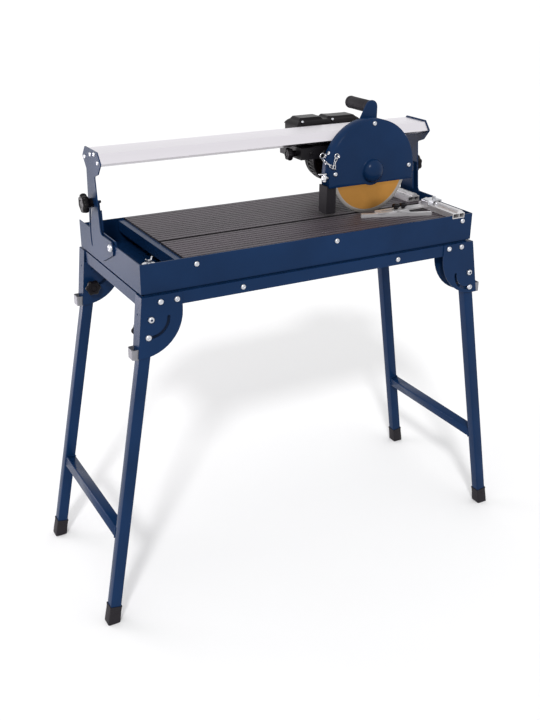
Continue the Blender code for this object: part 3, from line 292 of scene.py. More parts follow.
# %% [markdown]
# The tables are dark anodised aluminium. The colour is chosen by height: the Z of the surface decides
# between groove and rib top. The rib tops keep the metal's brown-grey, and the grooves are painted
# nearly black, which is painted shade inside them. Scratches run along the feed direction.

# %% Ribbed table metal
table_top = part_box("table_front")[1][2]
table_metal = finish("worn_table_metal", (0.060, 0.048, 0.058), 0.50, 0.25, 0.24, 16, 300, 0.16,
    (0.12, 1.4, 1.4))
tree = table_metal.node_tree
where = next(node for node in tree.nodes if node.bl_idname == "ShaderNodeTexCoord")
height = tree.nodes.new("ShaderNodeSeparateXYZ")
tree.links.new(where.outputs["Object"], height.inputs["Vector"])
depth = tree.nodes.new("ShaderNodeMapRange")
depth.inputs["From Min"].default_value = table_top - 0.0012
depth.inputs["From Max"].default_value = table_top - 0.0002
tree.links.new(height.outputs["Z"], depth.inputs["Value"])
# painted shade: below the rib tops the colour is mixed towards near black, standing in for the shade inside
# the grooves
groove_shade_mix = tree.nodes.new("ShaderNodeMix")
groove_shade_mix.data_type = "RGBA"
groove_shade_mix.inputs[6].default_value = (0.012, 0.011, 0.013, 1)
tree.links.new(depth.outputs["Result"], groove_shade_mix.inputs["Factor"])
tree.links.new(node_of(table_metal, "ShaderNodeValToRGB").outputs["Color"], groove_shade_mix.inputs[7])
tree.links.new(groove_shade_mix.outputs[2], tree.nodes["Principled BSDF"].inputs["Base Color"])
print("table top at", table_top)

# %% [markdown]
# Every part of the solid model now takes its finish. The record names one material slot for each
# node, so a small table from slot to finish does them all, and only the few that differ from
# their slot are set by name.

# %% Finishes for the model's own parts
by_slot = {
    "blue_paint": navy, "aluminium": rail_metal, "table_alloy": table_metal, "black_plastic": plastic,
    "black_steel": black_paint, "rubber": rubber, "zinc": zinc, "blade_gold": zinc,
}
for part in frame["record"]["subparts"]:
    node = nodes[part["node"]]
    for material_slot in node.material_slots:
        material_slot.material = by_slot[part["material_slot"]]
for name in ("fence_front", "fence_back", "stop_arm", "stop_bar"):
    for material_slot in nodes[name].material_slots:
        material_slot.material = fence_metal

# %% [markdown]
# The named places below are where the model puts things: the blade's axis, the guard's faces and
# the tray's outer faces. They come from the joints and the boxes of the model's parts, so nothing
# has to be fitted by hand. A helper turns millimetres from the tray's front left corner into the
# model's metres.

# %% Places taken from the model
blade_at = np.array(joints["blade_spin"]["pos_m"], float)
tray_low, tray_high = (np.array(corner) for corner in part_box("tray"))
guard_low, guard_high = (np.array(corner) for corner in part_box("guard_shell"))
cover_high = np.array(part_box("guard_cover")[1])
plane_of_cover = cover_high[1] - 0.0015
guard_reach = (guard_high[0] - guard_low[0]) / 2
skirt = blade_at[2] - guard_low[2]


def from_corner(x, y, z):
    """Millimetres from the tray's front left corner, with z from the floor, as metres."""
    return np.array([tray_low[0] + x / 1000, tray_low[1] + y / 1000, z / 1000])


print("blade axis", blade_at, "guard radius", guard_reach, "skirt", skirt)

# %% [markdown]
# Bolts hold the tray, the frame, the guard and the rail ends. They are dome-headed socket screws:
# a flat disc of a head, rounded over at its rim, with a round recess in the middle. Turned
# surfaces suit them, because only the profile has to be written down. All the bolts that move
# together are one object.

# %% Dome-headed bolts
def bolt(centre, along, radius=0.0058, lift=0.0):
    """A dome head with a recess, as (radius, height) pairs from the recess to the rim."""
    high = radius * 0.62
    shares = [(0, 0.45), (0.33, 0.45), (0.36, 0.95), (0.60, 0.97), (0.80, 0.80), (0.93, 0.52), (1.0, 0.2),
        (1.0, -0.1), (0, -0.1)]
    return turned([(radius * r, high * h + lift * (h > 0)) for r, h in shares], centre, along, 20)


frame_low, frame_high = (np.array(corner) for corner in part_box("underframe"))
bracket_face = abs(frame_low[1]) + 0.0023
base_bolts = []
for face in (-1, 1):
    along = (0, face, 0)
    for x, z in ((118.5, 778.5), (443.8, 779), (780.4, 778.7)):
        spot = from_corner(x, 0, z)
        base_bolts.append(bolt((spot[0], face * tray_high[1], spot[2]), along))
    for x, z in ((218, 716), (602, 716)):
        spot = from_corner(x, 0, z)
        base_bolts.append(bolt((spot[0], face * frame_high[1], spot[2]), along))
    for x, z in ((36.5, 716), (71.3, 716), (742.4, 720), (777.8, 720)):
        spot = from_corner(x, 0, z)
        base_bolts.append(bolt((spot[0], face * bracket_face, spot[2]), along, 0.0062))
    for side in ("left", "right"):
        pivot = joints[f"{side}_legs_fold"]["pos_m"]
        base_bolts.append(bolt((pivot[0], face * (bracket_face - 0.0002), pivot[2]), along, 0.0068, 0.0022))
tilt_at = np.array(joints["rail_tilt"]["pos_m"], float)
pillar_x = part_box("pillar_right")[1][0]
for out in (-1, 1):
    base_bolts.append(bolt((out * (pillar_x + 0.0004), tilt_at[1], tilt_at[2]), (out, 0, 0), 0.0086))
piece("bolts_on_base", base_bolts, zinc, "base")

rail_bolts = []
for out in (-1, 1):
    for y, z in ((273, 949), (237, 960), (213, 964), (194, 950)):
        spot = from_corner(0, y, z)
        rail_bolts.append(bolt((out * pillar_x, spot[1], spot[2]), (out, 0, 0), 0.0048))
piece("bolts_on_pillars", rail_bolts, zinc, "rail_frame")
print("bolts", len(base_bolts) + len(rail_bolts))

# %% [markdown]
# The guard is a deep steel dish over the upper half of the blade. Its outline is a half circle
# above the axis, then straight sides down to the skirt. Measured from the axis, that outline is
# one formula: the radius is constant above, and below it is the nearer of the vertical side and
# the level skirt. The shell is that outline carried backwards and turned in at its back edge, and
# the Solidify modifier gives it the thickness of sheet steel.

# %% The guard's shell
def guard_outline(angle, radius, bulge=0.0):
    """Distance from the blade's axis to the guard's edge at each angle.

    Above the axis it is the radius. Below, it is the smaller of radius over |cos| (the straight
    side) and skirt over |sin| (the level edge), but never less than the bulge under the dome.
    """
    cosine, sine = np.abs(np.cos(angle)), np.sin(angle)
    side = radius / np.maximum(cosine, 1e-6)
    level = skirt / np.maximum(-sine, 1e-6)
    below = np.minimum(side, level)
    return np.where(sine >= 0, radius, np.maximum(below, bulge * (below >= skirt)))


def corner_angles(radius):
    """The two angles at which the guard's straight sides meet its skirt."""
    turn = math.atan2(skirt, radius)
    return np.array([-turn, np.pi + turn])


low_corner, high_corner = corner_angles(guard_reach)
rim_angle = np.concatenate([[low_corner], np.linspace(0, np.pi, 81), [high_corner]])
guard_front, guard_back = guard_low[1], guard_high[1]
fold = 0.003
turn = np.linspace(0, np.pi / 2, 5)
inset = np.concatenate([[0, 0], fold * (1 - np.cos(turn))])
deep = np.concatenate([[guard_front, guard_back - 2 * fold], guard_back - fold + fold * np.sin(turn)])
reach = guard_outline(rim_angle, guard_reach)[None, :] - inset[:, None]
rim = np.stack([
    blade_at[0] + reach * np.cos(rim_angle), deep[:, None] + 0 * reach,
    np.maximum(blade_at[2] + reach * np.sin(rim_angle), blade_at[2] - skirt),
], -1)
loop_angle = np.concatenate([rim_angle, np.linspace(high_corner, 2 * np.pi + low_corner, 21)[1:-1]])
edge_reach = guard_outline(loop_angle, guard_reach - fold)
rows = np.linspace(0, 1, 4)[:, None]
wide = 0.020 * rows + edge_reach * (1 - rows)
wall = np.stack([
    blade_at[0] + wide * np.cos(loop_angle), guard_back + 0 * wide,
    blade_at[2] + np.maximum(wide * np.sin(loop_angle), -skirt),
], -1)
shell = piece("guard_dish", [grid(rim), grid(wall, wrap_columns=True)], navy, "saw_head")
thick = shell.modifiers.new("sheet", "SOLIDIFY")
thick.thickness = 0.0015
thick.offset = -1
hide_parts("guard_shell")
print("guard dish", len(shell.data.vertices), "points")

# %% [markdown]
# The cover closes the dish at the front. It is the same outline, drawn in towards the axis until
# it reaches a dome that clears the blade's nut. Because both are measured from the axis, one grid
# runs from the outer edge to the middle of the dome, and the fold between the flat and the dome
# is just a few extra rows. The skirt dips a little below the dome.

# %% The guard's cover with its dome
cover_angle = np.unique(np.concatenate([
    np.linspace(0, 2 * np.pi, 144, endpoint=False), np.mod(corner_angles(guard_reach), 2 * np.pi),
]))
edge = guard_outline(cover_angle, guard_reach, 0.034)
dome_radius, dome_height = 0.026, 0.0197
base_ring = dome_radius + 0.003
rings, lift = [edge, edge - 0.0004, edge - 0.0012], [-0.0008, -0.0002, 0.0]
for share in (0.35, 0.7, 1.0):
    rings.append((edge - 0.0012) * (1 - share) + base_ring * share)
    lift.append(0.0)
for share in np.linspace(0.25, 1, 3):
    rings.append(0 * edge + base_ring - 0.003 * math.sin(share * math.pi / 2))
    lift.append(0.003 * (1 - math.cos(share * math.pi / 2)))
for share in np.linspace(0, 1, 14)[1:]:
    rings.append(0 * edge + dome_radius * math.cos(share * math.pi / 2))
    lift.append(0.003 + (dome_height - 0.003) * math.sin(share * math.pi / 2))
rings, lift = np.array(rings), np.array(lift)[:, None]
cover_points = np.stack([
    blade_at[0] + rings * np.cos(cover_angle), plane_of_cover - 0.0002 - lift + 0 * rings,
    blade_at[2] + rings * np.sin(cover_angle),
], -1)
cover = piece("guard_face", [grid(cover_points, wrap_columns=True)], navy, "saw_head", 50)
sheet = cover.modifiers.new("sheet", "SOLIDIFY")
sheet.thickness = 0.0013
sheet.offset = -1
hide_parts("guard_cover")
print("cover", len(cover.data.vertices), "points")

# %% [markdown]
# The disc has a steel core with a gold coating and a plain grey diamond rim, slightly thicker
# than the core so that the core never rubs. It is one turned profile, and the finish changes at
# the rim by distance from the axis: the square root of the sum of two squares, worked out with
# a Vector Math length.

# %% The diamond disc
rim_start = 0.0915
blade_profile = [
    (0.0113, 0.0010), (0.0113, -0.0010), (rim_start, -0.0010), (rim_start + 0.0006, -0.00125),
        (0.0994, -0.00125),
    (0.1, -0.0008), (0.1, 0.0008), (0.0994, 0.00125), (rim_start + 0.0006, 0.00125), (rim_start, 0.0010),
        (0.0113, 0.0010),
]
disc_metal = finish("gold_disc", (0.43, 0.205, 0.045), 0.36, 0.85, 0.10, 14, 500, 0.08)
tree = disc_metal.node_tree
where = node_of(disc_metal, "ShaderNodeTexCoord")
centre = tree.nodes.new("ShaderNodeMapping")
centre.inputs["Location"].default_value = (-blade_at[0], 0, -blade_at[2])
centre.inputs["Scale"].default_value = (1, 0, 1)
tree.links.new(where.outputs["Object"], centre.inputs["Vector"])
distance = tree.nodes.new("ShaderNodeVectorMath")
distance.operation = "LENGTH"
tree.links.new(centre.outputs["Vector"], distance.inputs[0])
rings_noise = tree.nodes.new("ShaderNodeTexNoise")
rings_noise.noise_dimensions = "1D"
rings_noise.inputs["Scale"].default_value = 700
rings_noise.inputs["Detail"].default_value = 5
tree.links.new(distance.outputs["Value"], rings_noise.inputs["W"])
tree.links.new(rings_noise.outputs["Fac"], node_of(disc_metal, "ShaderNodeBump").inputs["Height"])
at_rim = tree.nodes.new("ShaderNodeMapRange")
at_rim.inputs["From Min"].default_value = rim_start - 0.0004
at_rim.inputs["From Max"].default_value = rim_start + 0.0004
tree.links.new(distance.outputs["Value"], at_rim.inputs["Value"])
two_tone = tree.nodes.new("ShaderNodeMix")
two_tone.data_type = "RGBA"
two_tone.inputs[7].default_value = (0.34, 0.32, 0.30, 1)
tree.links.new(at_rim.outputs["Result"], two_tone.inputs["Factor"])
tree.links.new(node_of(disc_metal, "ShaderNodeValToRGB").outputs["Color"], two_tone.inputs[6])
tree.links.new(two_tone.outputs[2], tree.nodes["Principled BSDF"].inputs["Base Color"])
disc = piece("diamond_disc", [turned(blade_profile, blade_at, (0, 1, 0), 128)], disc_metal, "blade_set",
    25)
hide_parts("blade")

# %% [markdown]
# Star knobs lock the legs, the tilt, the carriage and the angle stop. Each is a round grip whose
# radius swells and dips once per lobe, with rounded shoulders, a sunk cap and a hub behind it.
# The lobes come from one cosine, which fades out towards the hub, so the same profile serves
# every size.

# %% Star knobs
KNOB = [(0, 0.96), (0.34, 0.96), (0.38, 0.90), (0.42, 0.90), (0.46, 1.0), (0.70, 0.98), (0.88, 0.90),
    (0.97, 0.74), (1.0, 0.5),
        (0.97, 0.26), (0.88, 0.10), (0.70, 0.02), (0.54, 0.0), (0.50, -0.12), (0.50, -0.55), (0, -0.55)]


def star_knob(foot, along, radius, height, lobes=7, hub=0.55):
    """A knob standing on a foot point: hub first, then the lobed grip above it."""
    profile = [(radius * r, height * (h if h > -0.3 else -hub)) for r, h in KNOB]
    base = np.asarray(foot, float) + np.asarray(along, float) * height * hub
    return turned(profile, base, along, 12 * lobes, lobes, 0.085)


def rod(start, end, radius, sides=16):
    """A plain round rod between two points, with its rims drawn in by a tenth of its radius."""
    start, end = np.asarray(start, float), np.asarray(end, float)
    length = np.linalg.norm(end - start)
    small = radius * 0.1
    profile = [(0, length), (radius - small, length), (radius, length - small), (radius, small),
        (radius - small, 0), (0, 0)]
    return turned(profile, start, end - start, sides)


for out, side in ((-1, "left"), (1, "right")):
    hub_at = np.array(joints[f"{side}_tilt_lock_turn"]["pos_m"], float)
    foot = np.array([out * (pillar_x + 0.0003), hub_at[1], hub_at[2]])
    along = np.array([out, 0.0, 0.0])
    grip = piece(f"{side}_tilt_grip", [star_knob(foot, along, 0.0195, 0.0160)], plastic,
        f"{side}_tilt_lock")
    inner = np.array([out * 0.3886, hub_at[1], hub_at[2]])
    piece(f"{side}_tilt_stud", [rod(inner, foot + along * 0.01, 0.0030)], black_paint, f"{side}_tilt_lock")
    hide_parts(f"tilt_knob_{side}")

for side in ("left", "right"):
    for end, face in (("front", -1), ("back", 1)):
        lock = np.array(joints[f"{end}_{side}_leg_lock_turn"]["pos_m"], float)
        low, high = (np.array(corner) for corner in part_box(f"leg_knob_{end}_{side}"))
        outer, inner = (low[1], high[1]) if face < 0 else (high[1], low[1])
        head_y = outer - face * 0.0046
        grip_y = inner + face * 0.0195
        body = f"{end}_{side}_leg_lock"
        along = np.array([0.0, -face, 0.0])
        foot = np.array([lock[0], grip_y, lock[2]])
        grip = piece(f"{end}_{side}_leg_grip", [star_knob(foot, along, 0.0165, 0.0118, 6, 0.65)], plastic,
            body)
        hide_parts(f"leg_knob_{end}_{side}")
        stud = rod((lock[0], head_y, lock[2]), (lock[0], grip_y - face * 0.01, lock[2]), 0.003)
        head = bolt((lock[0], head_y, lock[2]), -along, 0.0066)
        piece(f"{end}_{side}_leg_stud", [stud, head], zinc, body)

lock_at = np.array(joints["carriage_lock_turn"]["pos_m"], float)
foot = lock_at + (-0.0003, 0, 0)
grip = piece("carriage_grip", [star_knob(foot, np.array([-1.0, 0, 0]), 0.0138, 0.0130, 6, 0.65)], plastic,
    "carriage_lock")
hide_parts("carriage_knob")
piece("carriage_stud", [rod(lock_at + (0.017, 0, 0), lock_at - (0.009, 0, 0), 0.003)], zinc,
    "carriage_lock")
for name in ("swivel", "slot"):
    low, high = (np.array(corner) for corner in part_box(f"stop_knob_{name}"))
    middle = (low + high) / 2
    foot = np.array([middle[0], middle[1], high[2] - 0.012])
    grip = piece(f"stop_{name}_grip", [star_knob(foot, np.array([0, 0, 1.0]), 0.0088, 0.0088, 6, 0.36)],
        plastic, f"{name}_lock")
    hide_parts(f"stop_knob_{name}")
    piece(f"stop_{name}_stud", [rod((middle[0], middle[1], low[2]), foot + (0, 0, 0.004), 0.0029)], zinc,
        f"{name}_lock")
print("knobs made")

# %% [markdown]
# The legs are square tube with rounded corners, and each pair is joined by a crossbar welded
# between them. A rounded square is carried along the leg's own line, from its pivot to its foot.
# The round corners matter more than their size suggests: they are the pale line that runs down
# each leg.

# %% Legs and crossbars
row = abs(joints["front_left_leg_lock_turn"]["pos_m"][1])
spread, splay = 0.1095, 0.0199
tube_outline = rounded_square(0.012, 0.012, 0.0026)
leg_lines = {}
for side, out in (("left", -1), ("right", 1)):
    for end, face in (("front", -1), ("back", 1)):
        pivot = np.array(joints[f"{side}_legs_fold"]["pos_m"], float) + (0, face * row, 0)
        foot = np.array([out * (tray_high[0] + spread), face * (row + splay), 0.0])
        down = (foot - pivot) / np.linalg.norm(foot - pivot)
        leg_lines[end, side] = pivot, down, directions(down, (0, 1, 0))


def along_leg(line, outline, stops, shares):
    """The outline carried down a leg: a row at each distance from the pivot, shrunk to its share."""
    pivot, _, axes = line
    flat = np.zeros((len(stops), len(outline), 3))
    flat[..., :2] = outline[None] * np.asarray(shares)[:, None, None]
    flat[..., 2] = np.asarray(stops)[:, None]
    return pivot + flat @ axes


for (end, side), line in leg_lines.items():
    pivot, down, _ = line
    length = -pivot[2] / down[2]
    tube_rows = along_leg(line, tube_outline, [-0.0100, -0.0093, 0.3, length - 0.0097, length - 0.0090],
        [0.93, 1, 1, 1, 0.93])
    leg = piece(f"{end}_{side}_tube", [grid(capped(tube_rows), wrap_columns=True)], navy, f"{side}_legs",
        50)
    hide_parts(f"leg_{end}_{side}")

bar_edge = rounded_square(0.012, 0.012, 0.0026)
for side in ("left", "right"):
    low, high = (np.array(corner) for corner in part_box(f"crossbar_{side}"))
    middle = (low + high) / 2
    lean = leg_lines["front", side][2]
    tilted = np.array([lean[2][0], 0, lean[2][2]])
    tilted /= np.linalg.norm(tilted)
    sideways = np.cross((0, 1, 0), tilted)
    reach = (high[1] - low[1]) / 2
    bar = piece(
        f"{side}_crossbar_tube",
        [prism(bar_edge, (middle[0], 0, middle[2]), sideways, tilted, (0, 1, 0), -reach, reach)],
        navy, f"{side}_legs", 50,
    )
    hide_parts(f"crossbar_{side}")
print("legs made from", len(tube_outline), "points round")

# %% [markdown]
# The crossbars are welded to the legs, and a weld is never a clean corner. A thin ripple of bead
# runs round three sides of each joint. Its radius rises and falls along the seam, which is how a
# run of overlapping weld pools looks under paint.

# %% Weld beads
def weld(corner_points, radius=0.0016, ripple=0.18, step=0.0022):
    """A bead along a bent line, whose radius is multiplied by 1 + ripple times a sine of length."""
    corner_points = np.asarray(corner_points, float)
    gaps = np.linalg.norm(np.diff(corner_points, axis=0), axis=1)
    whole = np.concatenate([[0], np.cumsum(gaps)])
    stops = np.linspace(0, whole[-1], max(6, int(whole[-1] / step * 3)))
    path = np.column_stack([np.interp(stops, whole, corner_points[:, k]) for k in range(3)])
    tangent = np.gradient(path, axis=0)
    tangent /= np.linalg.norm(tangent, axis=1, keepdims=True)
    side = np.cross(tangent, (0.31, 0.87, 0.38))
    side /= np.linalg.norm(side, axis=1, keepdims=True)
    other = np.cross(tangent, side)
    angle = np.linspace(0, 2 * np.pi, 8, endpoint=False)[None, :, None]
    thick = radius * (1 + ripple * np.sin(stops / step * 2 * np.pi))[:, None, None]
    rings = path[:, None] + thick * (np.cos(angle) * side[:, None] + np.sin(angle) * other[:, None])
    return grid(capped(rings), wrap_columns=True)


for side in ("left", "right"):
    low, high = (np.array(corner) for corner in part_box(f"crossbar_{side}"))
    middle = (low + high) / 2
    lean = leg_lines["front", side][2]
    tilted = np.array([lean[2][0], 0, lean[2][2]])
    tilted /= np.linalg.norm(tilted)
    across = np.cross((0, 1, 0), tilted)
    beads = []
    for face, reach in ((-1, low[1]), (1, high[1])):
        centre = np.array([middle[0], reach, middle[2]])
        square = [centre + 0.0118 * (a * across + b * tilted) for a,
            b in ((-1, -1), (1, -1), (1, 1), (-1, 1), (-1, -1))]
        beads.append(weld(square))
    piece(f"{side}_crossbar_welds", beads, navy, f"{side}_legs", 60)

# %% [markdown]
# Rubber caps close the legs and grip the floor. Each is the leg's own rounded square, a little
# larger, with a lip at its mouth and two shallow grooves. Its underside is level although the leg
# leans, so the last row of points runs on down the leg until each one is at floor height.

# %% Rubber caps
cap_outline = rounded_square(0.0139, 0.0139, 0.0034)
for (end, side), line in leg_lines.items():
    pivot, down, axes = line
    length = -pivot[2] / down[2]
    back_up = np.array([0.0424, 0.0420, 0.0395, 0.0388, 0.0340, 0.0335, 0.0322, 0.0317, 0.0280, 0.0275,
        0.0262, 0.0257, 0.0105])
    shares = np.array([0.88, 1.0, 1.0, 0.965, 0.965, 0.94, 0.94, 0.965, 0.965, 0.94, 0.94, 0.965, 0.99])
    rows = along_leg(line, cap_outline, length - back_up, shares)
    last = rows[-1] + down * (-(rows[-1][:, 2:] - 0.0012) / down[2])
    sole_middle = last.mean(axis=0)
    sole = sole_middle + (last - sole_middle) * 0.95
    sole[:, 2] = 0.0
    rows = np.concatenate([rows, last[None], sole[None]])
    cap = piece(f"{end}_{side}_cap", [grid(capped(rows), wrap_columns=True)], rubber, f"{side}_legs",
        30)
    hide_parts(f"foot_{end}_{side}")

# %% [markdown]
# Small grey spring clips sit at the foot of each bracket. They are bent strips, open towards the
# leg: seen from above, a U whose back stands off the bracket. A strip is a path with a thin
# rectangle carried along it, so the helper takes the path and gives it thickness and height.

# %% Spring clips on the brackets
def strip(path, thickness, low, high):
    """A bent strip standing up: its path in plan is moved half a thickness to both sides."""
    path = np.asarray(path, float)
    along = np.gradient(path, axis=0)
    along /= np.linalg.norm(along, axis=1, keepdims=True)
    side = np.column_stack([along[:, 1], -along[:, 0]]) * thickness / 2
    outer, inner = path + side, path - side
    rows = [(outer, low), (outer, high), (inner, high), (inner, low)]
    rings = np.stack([np.column_stack([points, np.full(len(points), z)]) for points, z in rows], 1)
    return grid(capped(rings), wrap_columns=True)


clips = []
for side, out in (("left", -1), ("right", 1)):
    web = abs(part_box(f"leg_bracket_front_{side}")[0 if out < 0 else 1][0]) - 0.0022
    for face in (-1, 1):
        middle, half, deep, bend = face * (row + 0.001), 0.0125, 0.0125, 0.004
        turn = np.linspace(0, np.pi / 2, 6)
        arc_a = np.column_stack([web + deep - bend + bend * np.sin(turn),
            -half + bend - bend * np.cos(turn)])
        arc_b = np.column_stack([arc_a[::-1, 0], -arc_a[::-1, 1]])
        plan = np.concatenate([[(web - 0.0012, -half), (web + 0.004, -half)], arc_a, arc_b,
            [(web + 0.004, half), (web - 0.0012, half)]])
        plan = np.column_stack([out * plan[:, 0], middle + plan[:, 1]])
        clips.append(strip(plan, 0.0022, 0.6015, 0.6225))
piece("bracket_clips", clips, clip_grey, "base", 50)
print("clips", len(clips))

# %% [markdown]
# The grip is a ribbed rubber sleeve over a steel pin. Twenty-four shallow flutes run along it:
# the radius is a cosine of the angle, faded out at both ends where the sleeve is smooth. A rolled
# collar and a domed end finish it.

# %% The handle's grip
grip_low, grip_high = (np.array(corner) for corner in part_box("handle_grip"))
grip_length = grip_high[1] - grip_low[1]
grip_foot = np.array([(grip_low[0] + grip_high[0]) / 2, grip_low[1], (grip_low[2] + grip_high[2]) / 2])
radius = (grip_high[0] - grip_low[0]) / 2
profile = [
    (0, grip_length), (radius * 0.5, grip_length - 0.0004), (radius * 0.8, grip_length - 0.0018),
        (radius * 0.95, grip_length - 0.0045),
    (radius, grip_length - 0.008), (radius, grip_length - 0.011), (radius * 0.93, grip_length - 0.0118),
        (radius * 0.93, grip_length - 0.0135),
    (radius * 0.98, grip_length - 0.0145), (radius * 0.98, 0.0145), (radius * 0.93, 0.0135),
        (radius * 0.93, 0.0118),
    (radius, 0.011), (radius, 0.002), (radius * 0.93, 0), (0, 0),
]
profile = np.array(profile)
angle = np.linspace(0, 2 * np.pi, 192, endpoint=False)
ribbed = ((profile[:, 1] > 0.014) & (profile[:, 1] < grip_length - 0.014))[:, None]
reach = profile[:, :1] * (1 - 0.035 * ribbed * (1 - np.abs(np.cos(12 * angle))))
local = np.stack([reach * np.cos(angle), reach * np.sin(angle), profile[:, 1:] + 0 * angle], -1)
sleeve = piece("grip_sleeve", [grid(grip_foot + local @ directions((0, 1, 0)), wrap_columns=True)], rubber,
    "saw_head", 50)
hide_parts("handle_grip")
head_bolts = []
print("grip", grip_length)

# %% [markdown]
# The motor is a finned cylinder behind the rail. Cooling fins run along it, so the radius steps
# between two values round the circle. A smooth square wave, the hyperbolic tangent of a cosine,
# gives fins with slightly sloping sides, as they come out of a mould. The end cover carries a
# ring of cooling slots between raised spokes, made the same way but in height.

# %% Motor, end cover and gear housing
def square_wave(angle, count, sharp=4.0):
    """A wave between 0 and 1 with flat tops: half of 1 plus tanh of sharp times a cosine."""
    return 0.5 + 0.5 * np.tanh(sharp * np.cos(count * angle))


motor_low, motor_high = (np.array(corner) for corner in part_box("motor_housing"))
motor_radius = (motor_high[0] - motor_low[0]) / 2
motor_foot = np.array([blade_at[0], motor_low[1], blade_at[2]])
long = motor_high[1] - motor_low[1]
angle = np.linspace(0, 2 * np.pi, 432, endpoint=False)
profile = np.array([
    (0, long), (motor_radius - 0.004, long), (motor_radius - 0.0012, long - 0.001),
        (motor_radius, long - 0.003), (motor_radius, long - 0.0075),
    (motor_radius - 0.0006, long - 0.008), (motor_radius - 0.0002, long - 0.0085),
        (motor_radius - 0.0002, 0.0085),
    (motor_radius - 0.0008, 0.008), (motor_radius, 0.0075), (motor_radius, 0.004),
        (motor_radius - 0.0015, 0.0012), (motor_radius - 0.004, 0), (0, 0),
])
finned = ((profile[:, 1] > 0.0083) & (profile[:, 1] < long - 0.0083) & (profile[:, 0] > 0.01))[:, None]
reach = profile[:, :1] - 0.0024 * finned * (1 - square_wave(angle, 36))
local = np.stack([reach * np.cos(angle), reach * np.sin(angle), profile[:, 1:] + 0 * angle], -1)
motor = piece("motor_case", [grid(motor_foot + local @ directions((0, 1, 0)), wrap_columns=True)], plastic,
    "saw_head", 50)
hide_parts("motor_housing")

cover_low, cover_top = (np.array(corner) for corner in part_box("motor_end_cover"))
deep = cover_top[1] - cover_low[1]
rim = (cover_top[0] - cover_low[0]) / 2
profile = np.array([
    (0, deep), (0.012, deep), (0.0128, deep - 0.0012), (0.0145, deep - 0.0012), (0.0155, deep - 0.0002),
        (0.0175, deep - 0.0002),
    (0.0180, deep - 0.0008), (rim - 0.017, deep - 0.0008), (rim - 0.0164, deep - 0.0002),
        (rim - 0.012, deep - 0.0003), (rim - 0.007, deep - 0.0018),
    (rim - 0.003, deep - 0.005), (rim - 0.0008, deep - 0.009), (rim, deep - 0.013), (rim, 0.001),
        (rim - 0.001, 0), (0, 0),
])
slotted = ((profile[:, 0] > 0.0179) & (profile[:, 0] < rim - 0.0169))[:, None]
drop = 0.0042 * slotted * (1 - square_wave(angle, 18, 5))
local = np.stack([profile[:, :1] * np.cos(angle), profile[:, :1] * np.sin(angle), profile[:, 1:] - drop],
    -1)
cover_foot = np.array([blade_at[0], cover_low[1], blade_at[2]])
lid = piece("motor_cover", [grid(cover_foot + local @ directions((0, 1, 0)), wrap_columns=True)], plastic,
    "saw_head", 50)
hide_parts("motor_end_cover")
for turn in np.radians([45, 135, 225, 315]):
    spot = blade_at + (math.cos(turn) * (rim - 0.0095), 0, math.sin(turn) * (rim - 0.0095))
    head_bolts.append(bolt((spot[0], cover_top[1] - 0.0016, spot[2]), (0, 1, 0), 0.0036))

gear_low, gear_high = (np.array(corner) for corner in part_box("gear_housing"))
size = (gear_high[0] - gear_low[0]) / 2
span = gear_high[1] - gear_low[1]
collars = [(0, span), (size - 0.001, span), (size, span - 0.001), (size, span - 0.012),
    (size - 0.0016, span - 0.0136),
           (size - 0.0016, 0.022), (size, 0.0204), (size, 0.001), (size - 0.001, 0), (0, 0)]
gear = piece("gear_case", [turned(collars, (blade_at[0], gear_low[1], blade_at[2]), (0, 1, 0), 96)],
    black_paint, "saw_head")
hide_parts("gear_housing")
print("motor", motor_radius, long, deep)

# %% [markdown]
# The switch box sits on the motor, behind the rail. It is a moulded tub under a lid with two
# raised panels, and a waist between them. The lid is a height over a plan: the panels are where
# two smooth steps overlap, one along the box and one across it, and the rim falls away round
# the edge.

# %% Switch box and its lid
def smooth_step(value, start, end):
    """0 before the start, 1 after the end, and a smooth cubic between them."""
    share = np.clip((value - start) / (end - start), 0, 1)
    return share * share * (3 - 2 * share)


box_low, box_high = (np.array(corner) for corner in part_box("switch_box"))
size_x, size_y, size_z = box_high - box_low
seam = box_low[2] + size_z * 0.52
plan = rounded_square(size_x / 2, size_y / 2, 0.006, 6)
centre_x, centre_y = (box_low[0] + box_high[0]) / 2, (box_low[1] + box_high[1]) / 2
tub_rows = [(0.985, box_low[2]), (0.995, box_low[2] + 0.001), (1.0, seam - 0.0012), (0.99, seam - 0.0004),
    (0.99, seam + 0.0004)]
tub = np.stack([np.column_stack([plan * share, np.full(len(plan), z)]) for share,
    z in tub_rows]) + (centre_x, centre_y, 0)
u = np.linspace(-1, 1, 89)[:, None]
v = np.linspace(-1, 1, 41)[None, :]
lid_x, lid_y = u * size_x / 2 + 0 * v, v * size_y / 2 + 0 * u
edge_x = (size_x / 2 - np.abs(lid_x)) / 0.012
edge_y = (size_y / 2 - np.abs(lid_y)) / 0.012
rounding = 1 - np.clip(1 - np.minimum(edge_x, edge_y), 0, 1) ** 2
panels = smooth_step(np.minimum(edge_x, edge_y), 0.75, 1.25) * smooth_step(np.abs(lid_x + 0.007), 0.004,
    0.012)
left_panel = 1 - smooth_step(lid_x, -0.02, 0.03) * 0.35
lid_z = seam + (box_high[2] - seam) * (0.10 + 0.55 * rounding + 0.35 * panels * left_panel)
lid_grid = np.stack([lid_x + centre_x, lid_y + centre_y, lid_z], -1)
ring = np.concatenate([lid_grid[:-1, 0], lid_grid[-1, :-1], lid_grid[:0:-1, -1], lid_grid[0, :0:-1]])
lower = ring.copy()
lower[:, 2] = seam + 0.0003
case = piece(
    "switch_case", [grid(capped(tub), wrap_columns=True), grid(lid_grid),
        grid(np.stack([ring, lower]), wrap_columns=True)],
    plastic, "saw_head", 40,
)
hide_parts("switch_box")
for share in (-0.42, 0.043):
    head_bolts.append(bolt((centre_x + share * size_x, box_low[1] + 0.0022, seam + 0.0105),
        (0, -0.75, 0.66), 0.0032))
button_low, button_high = (np.array(corner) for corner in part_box("switch_button"))
button_at = (button_low + button_high) / 2
face_x = button_high[0]
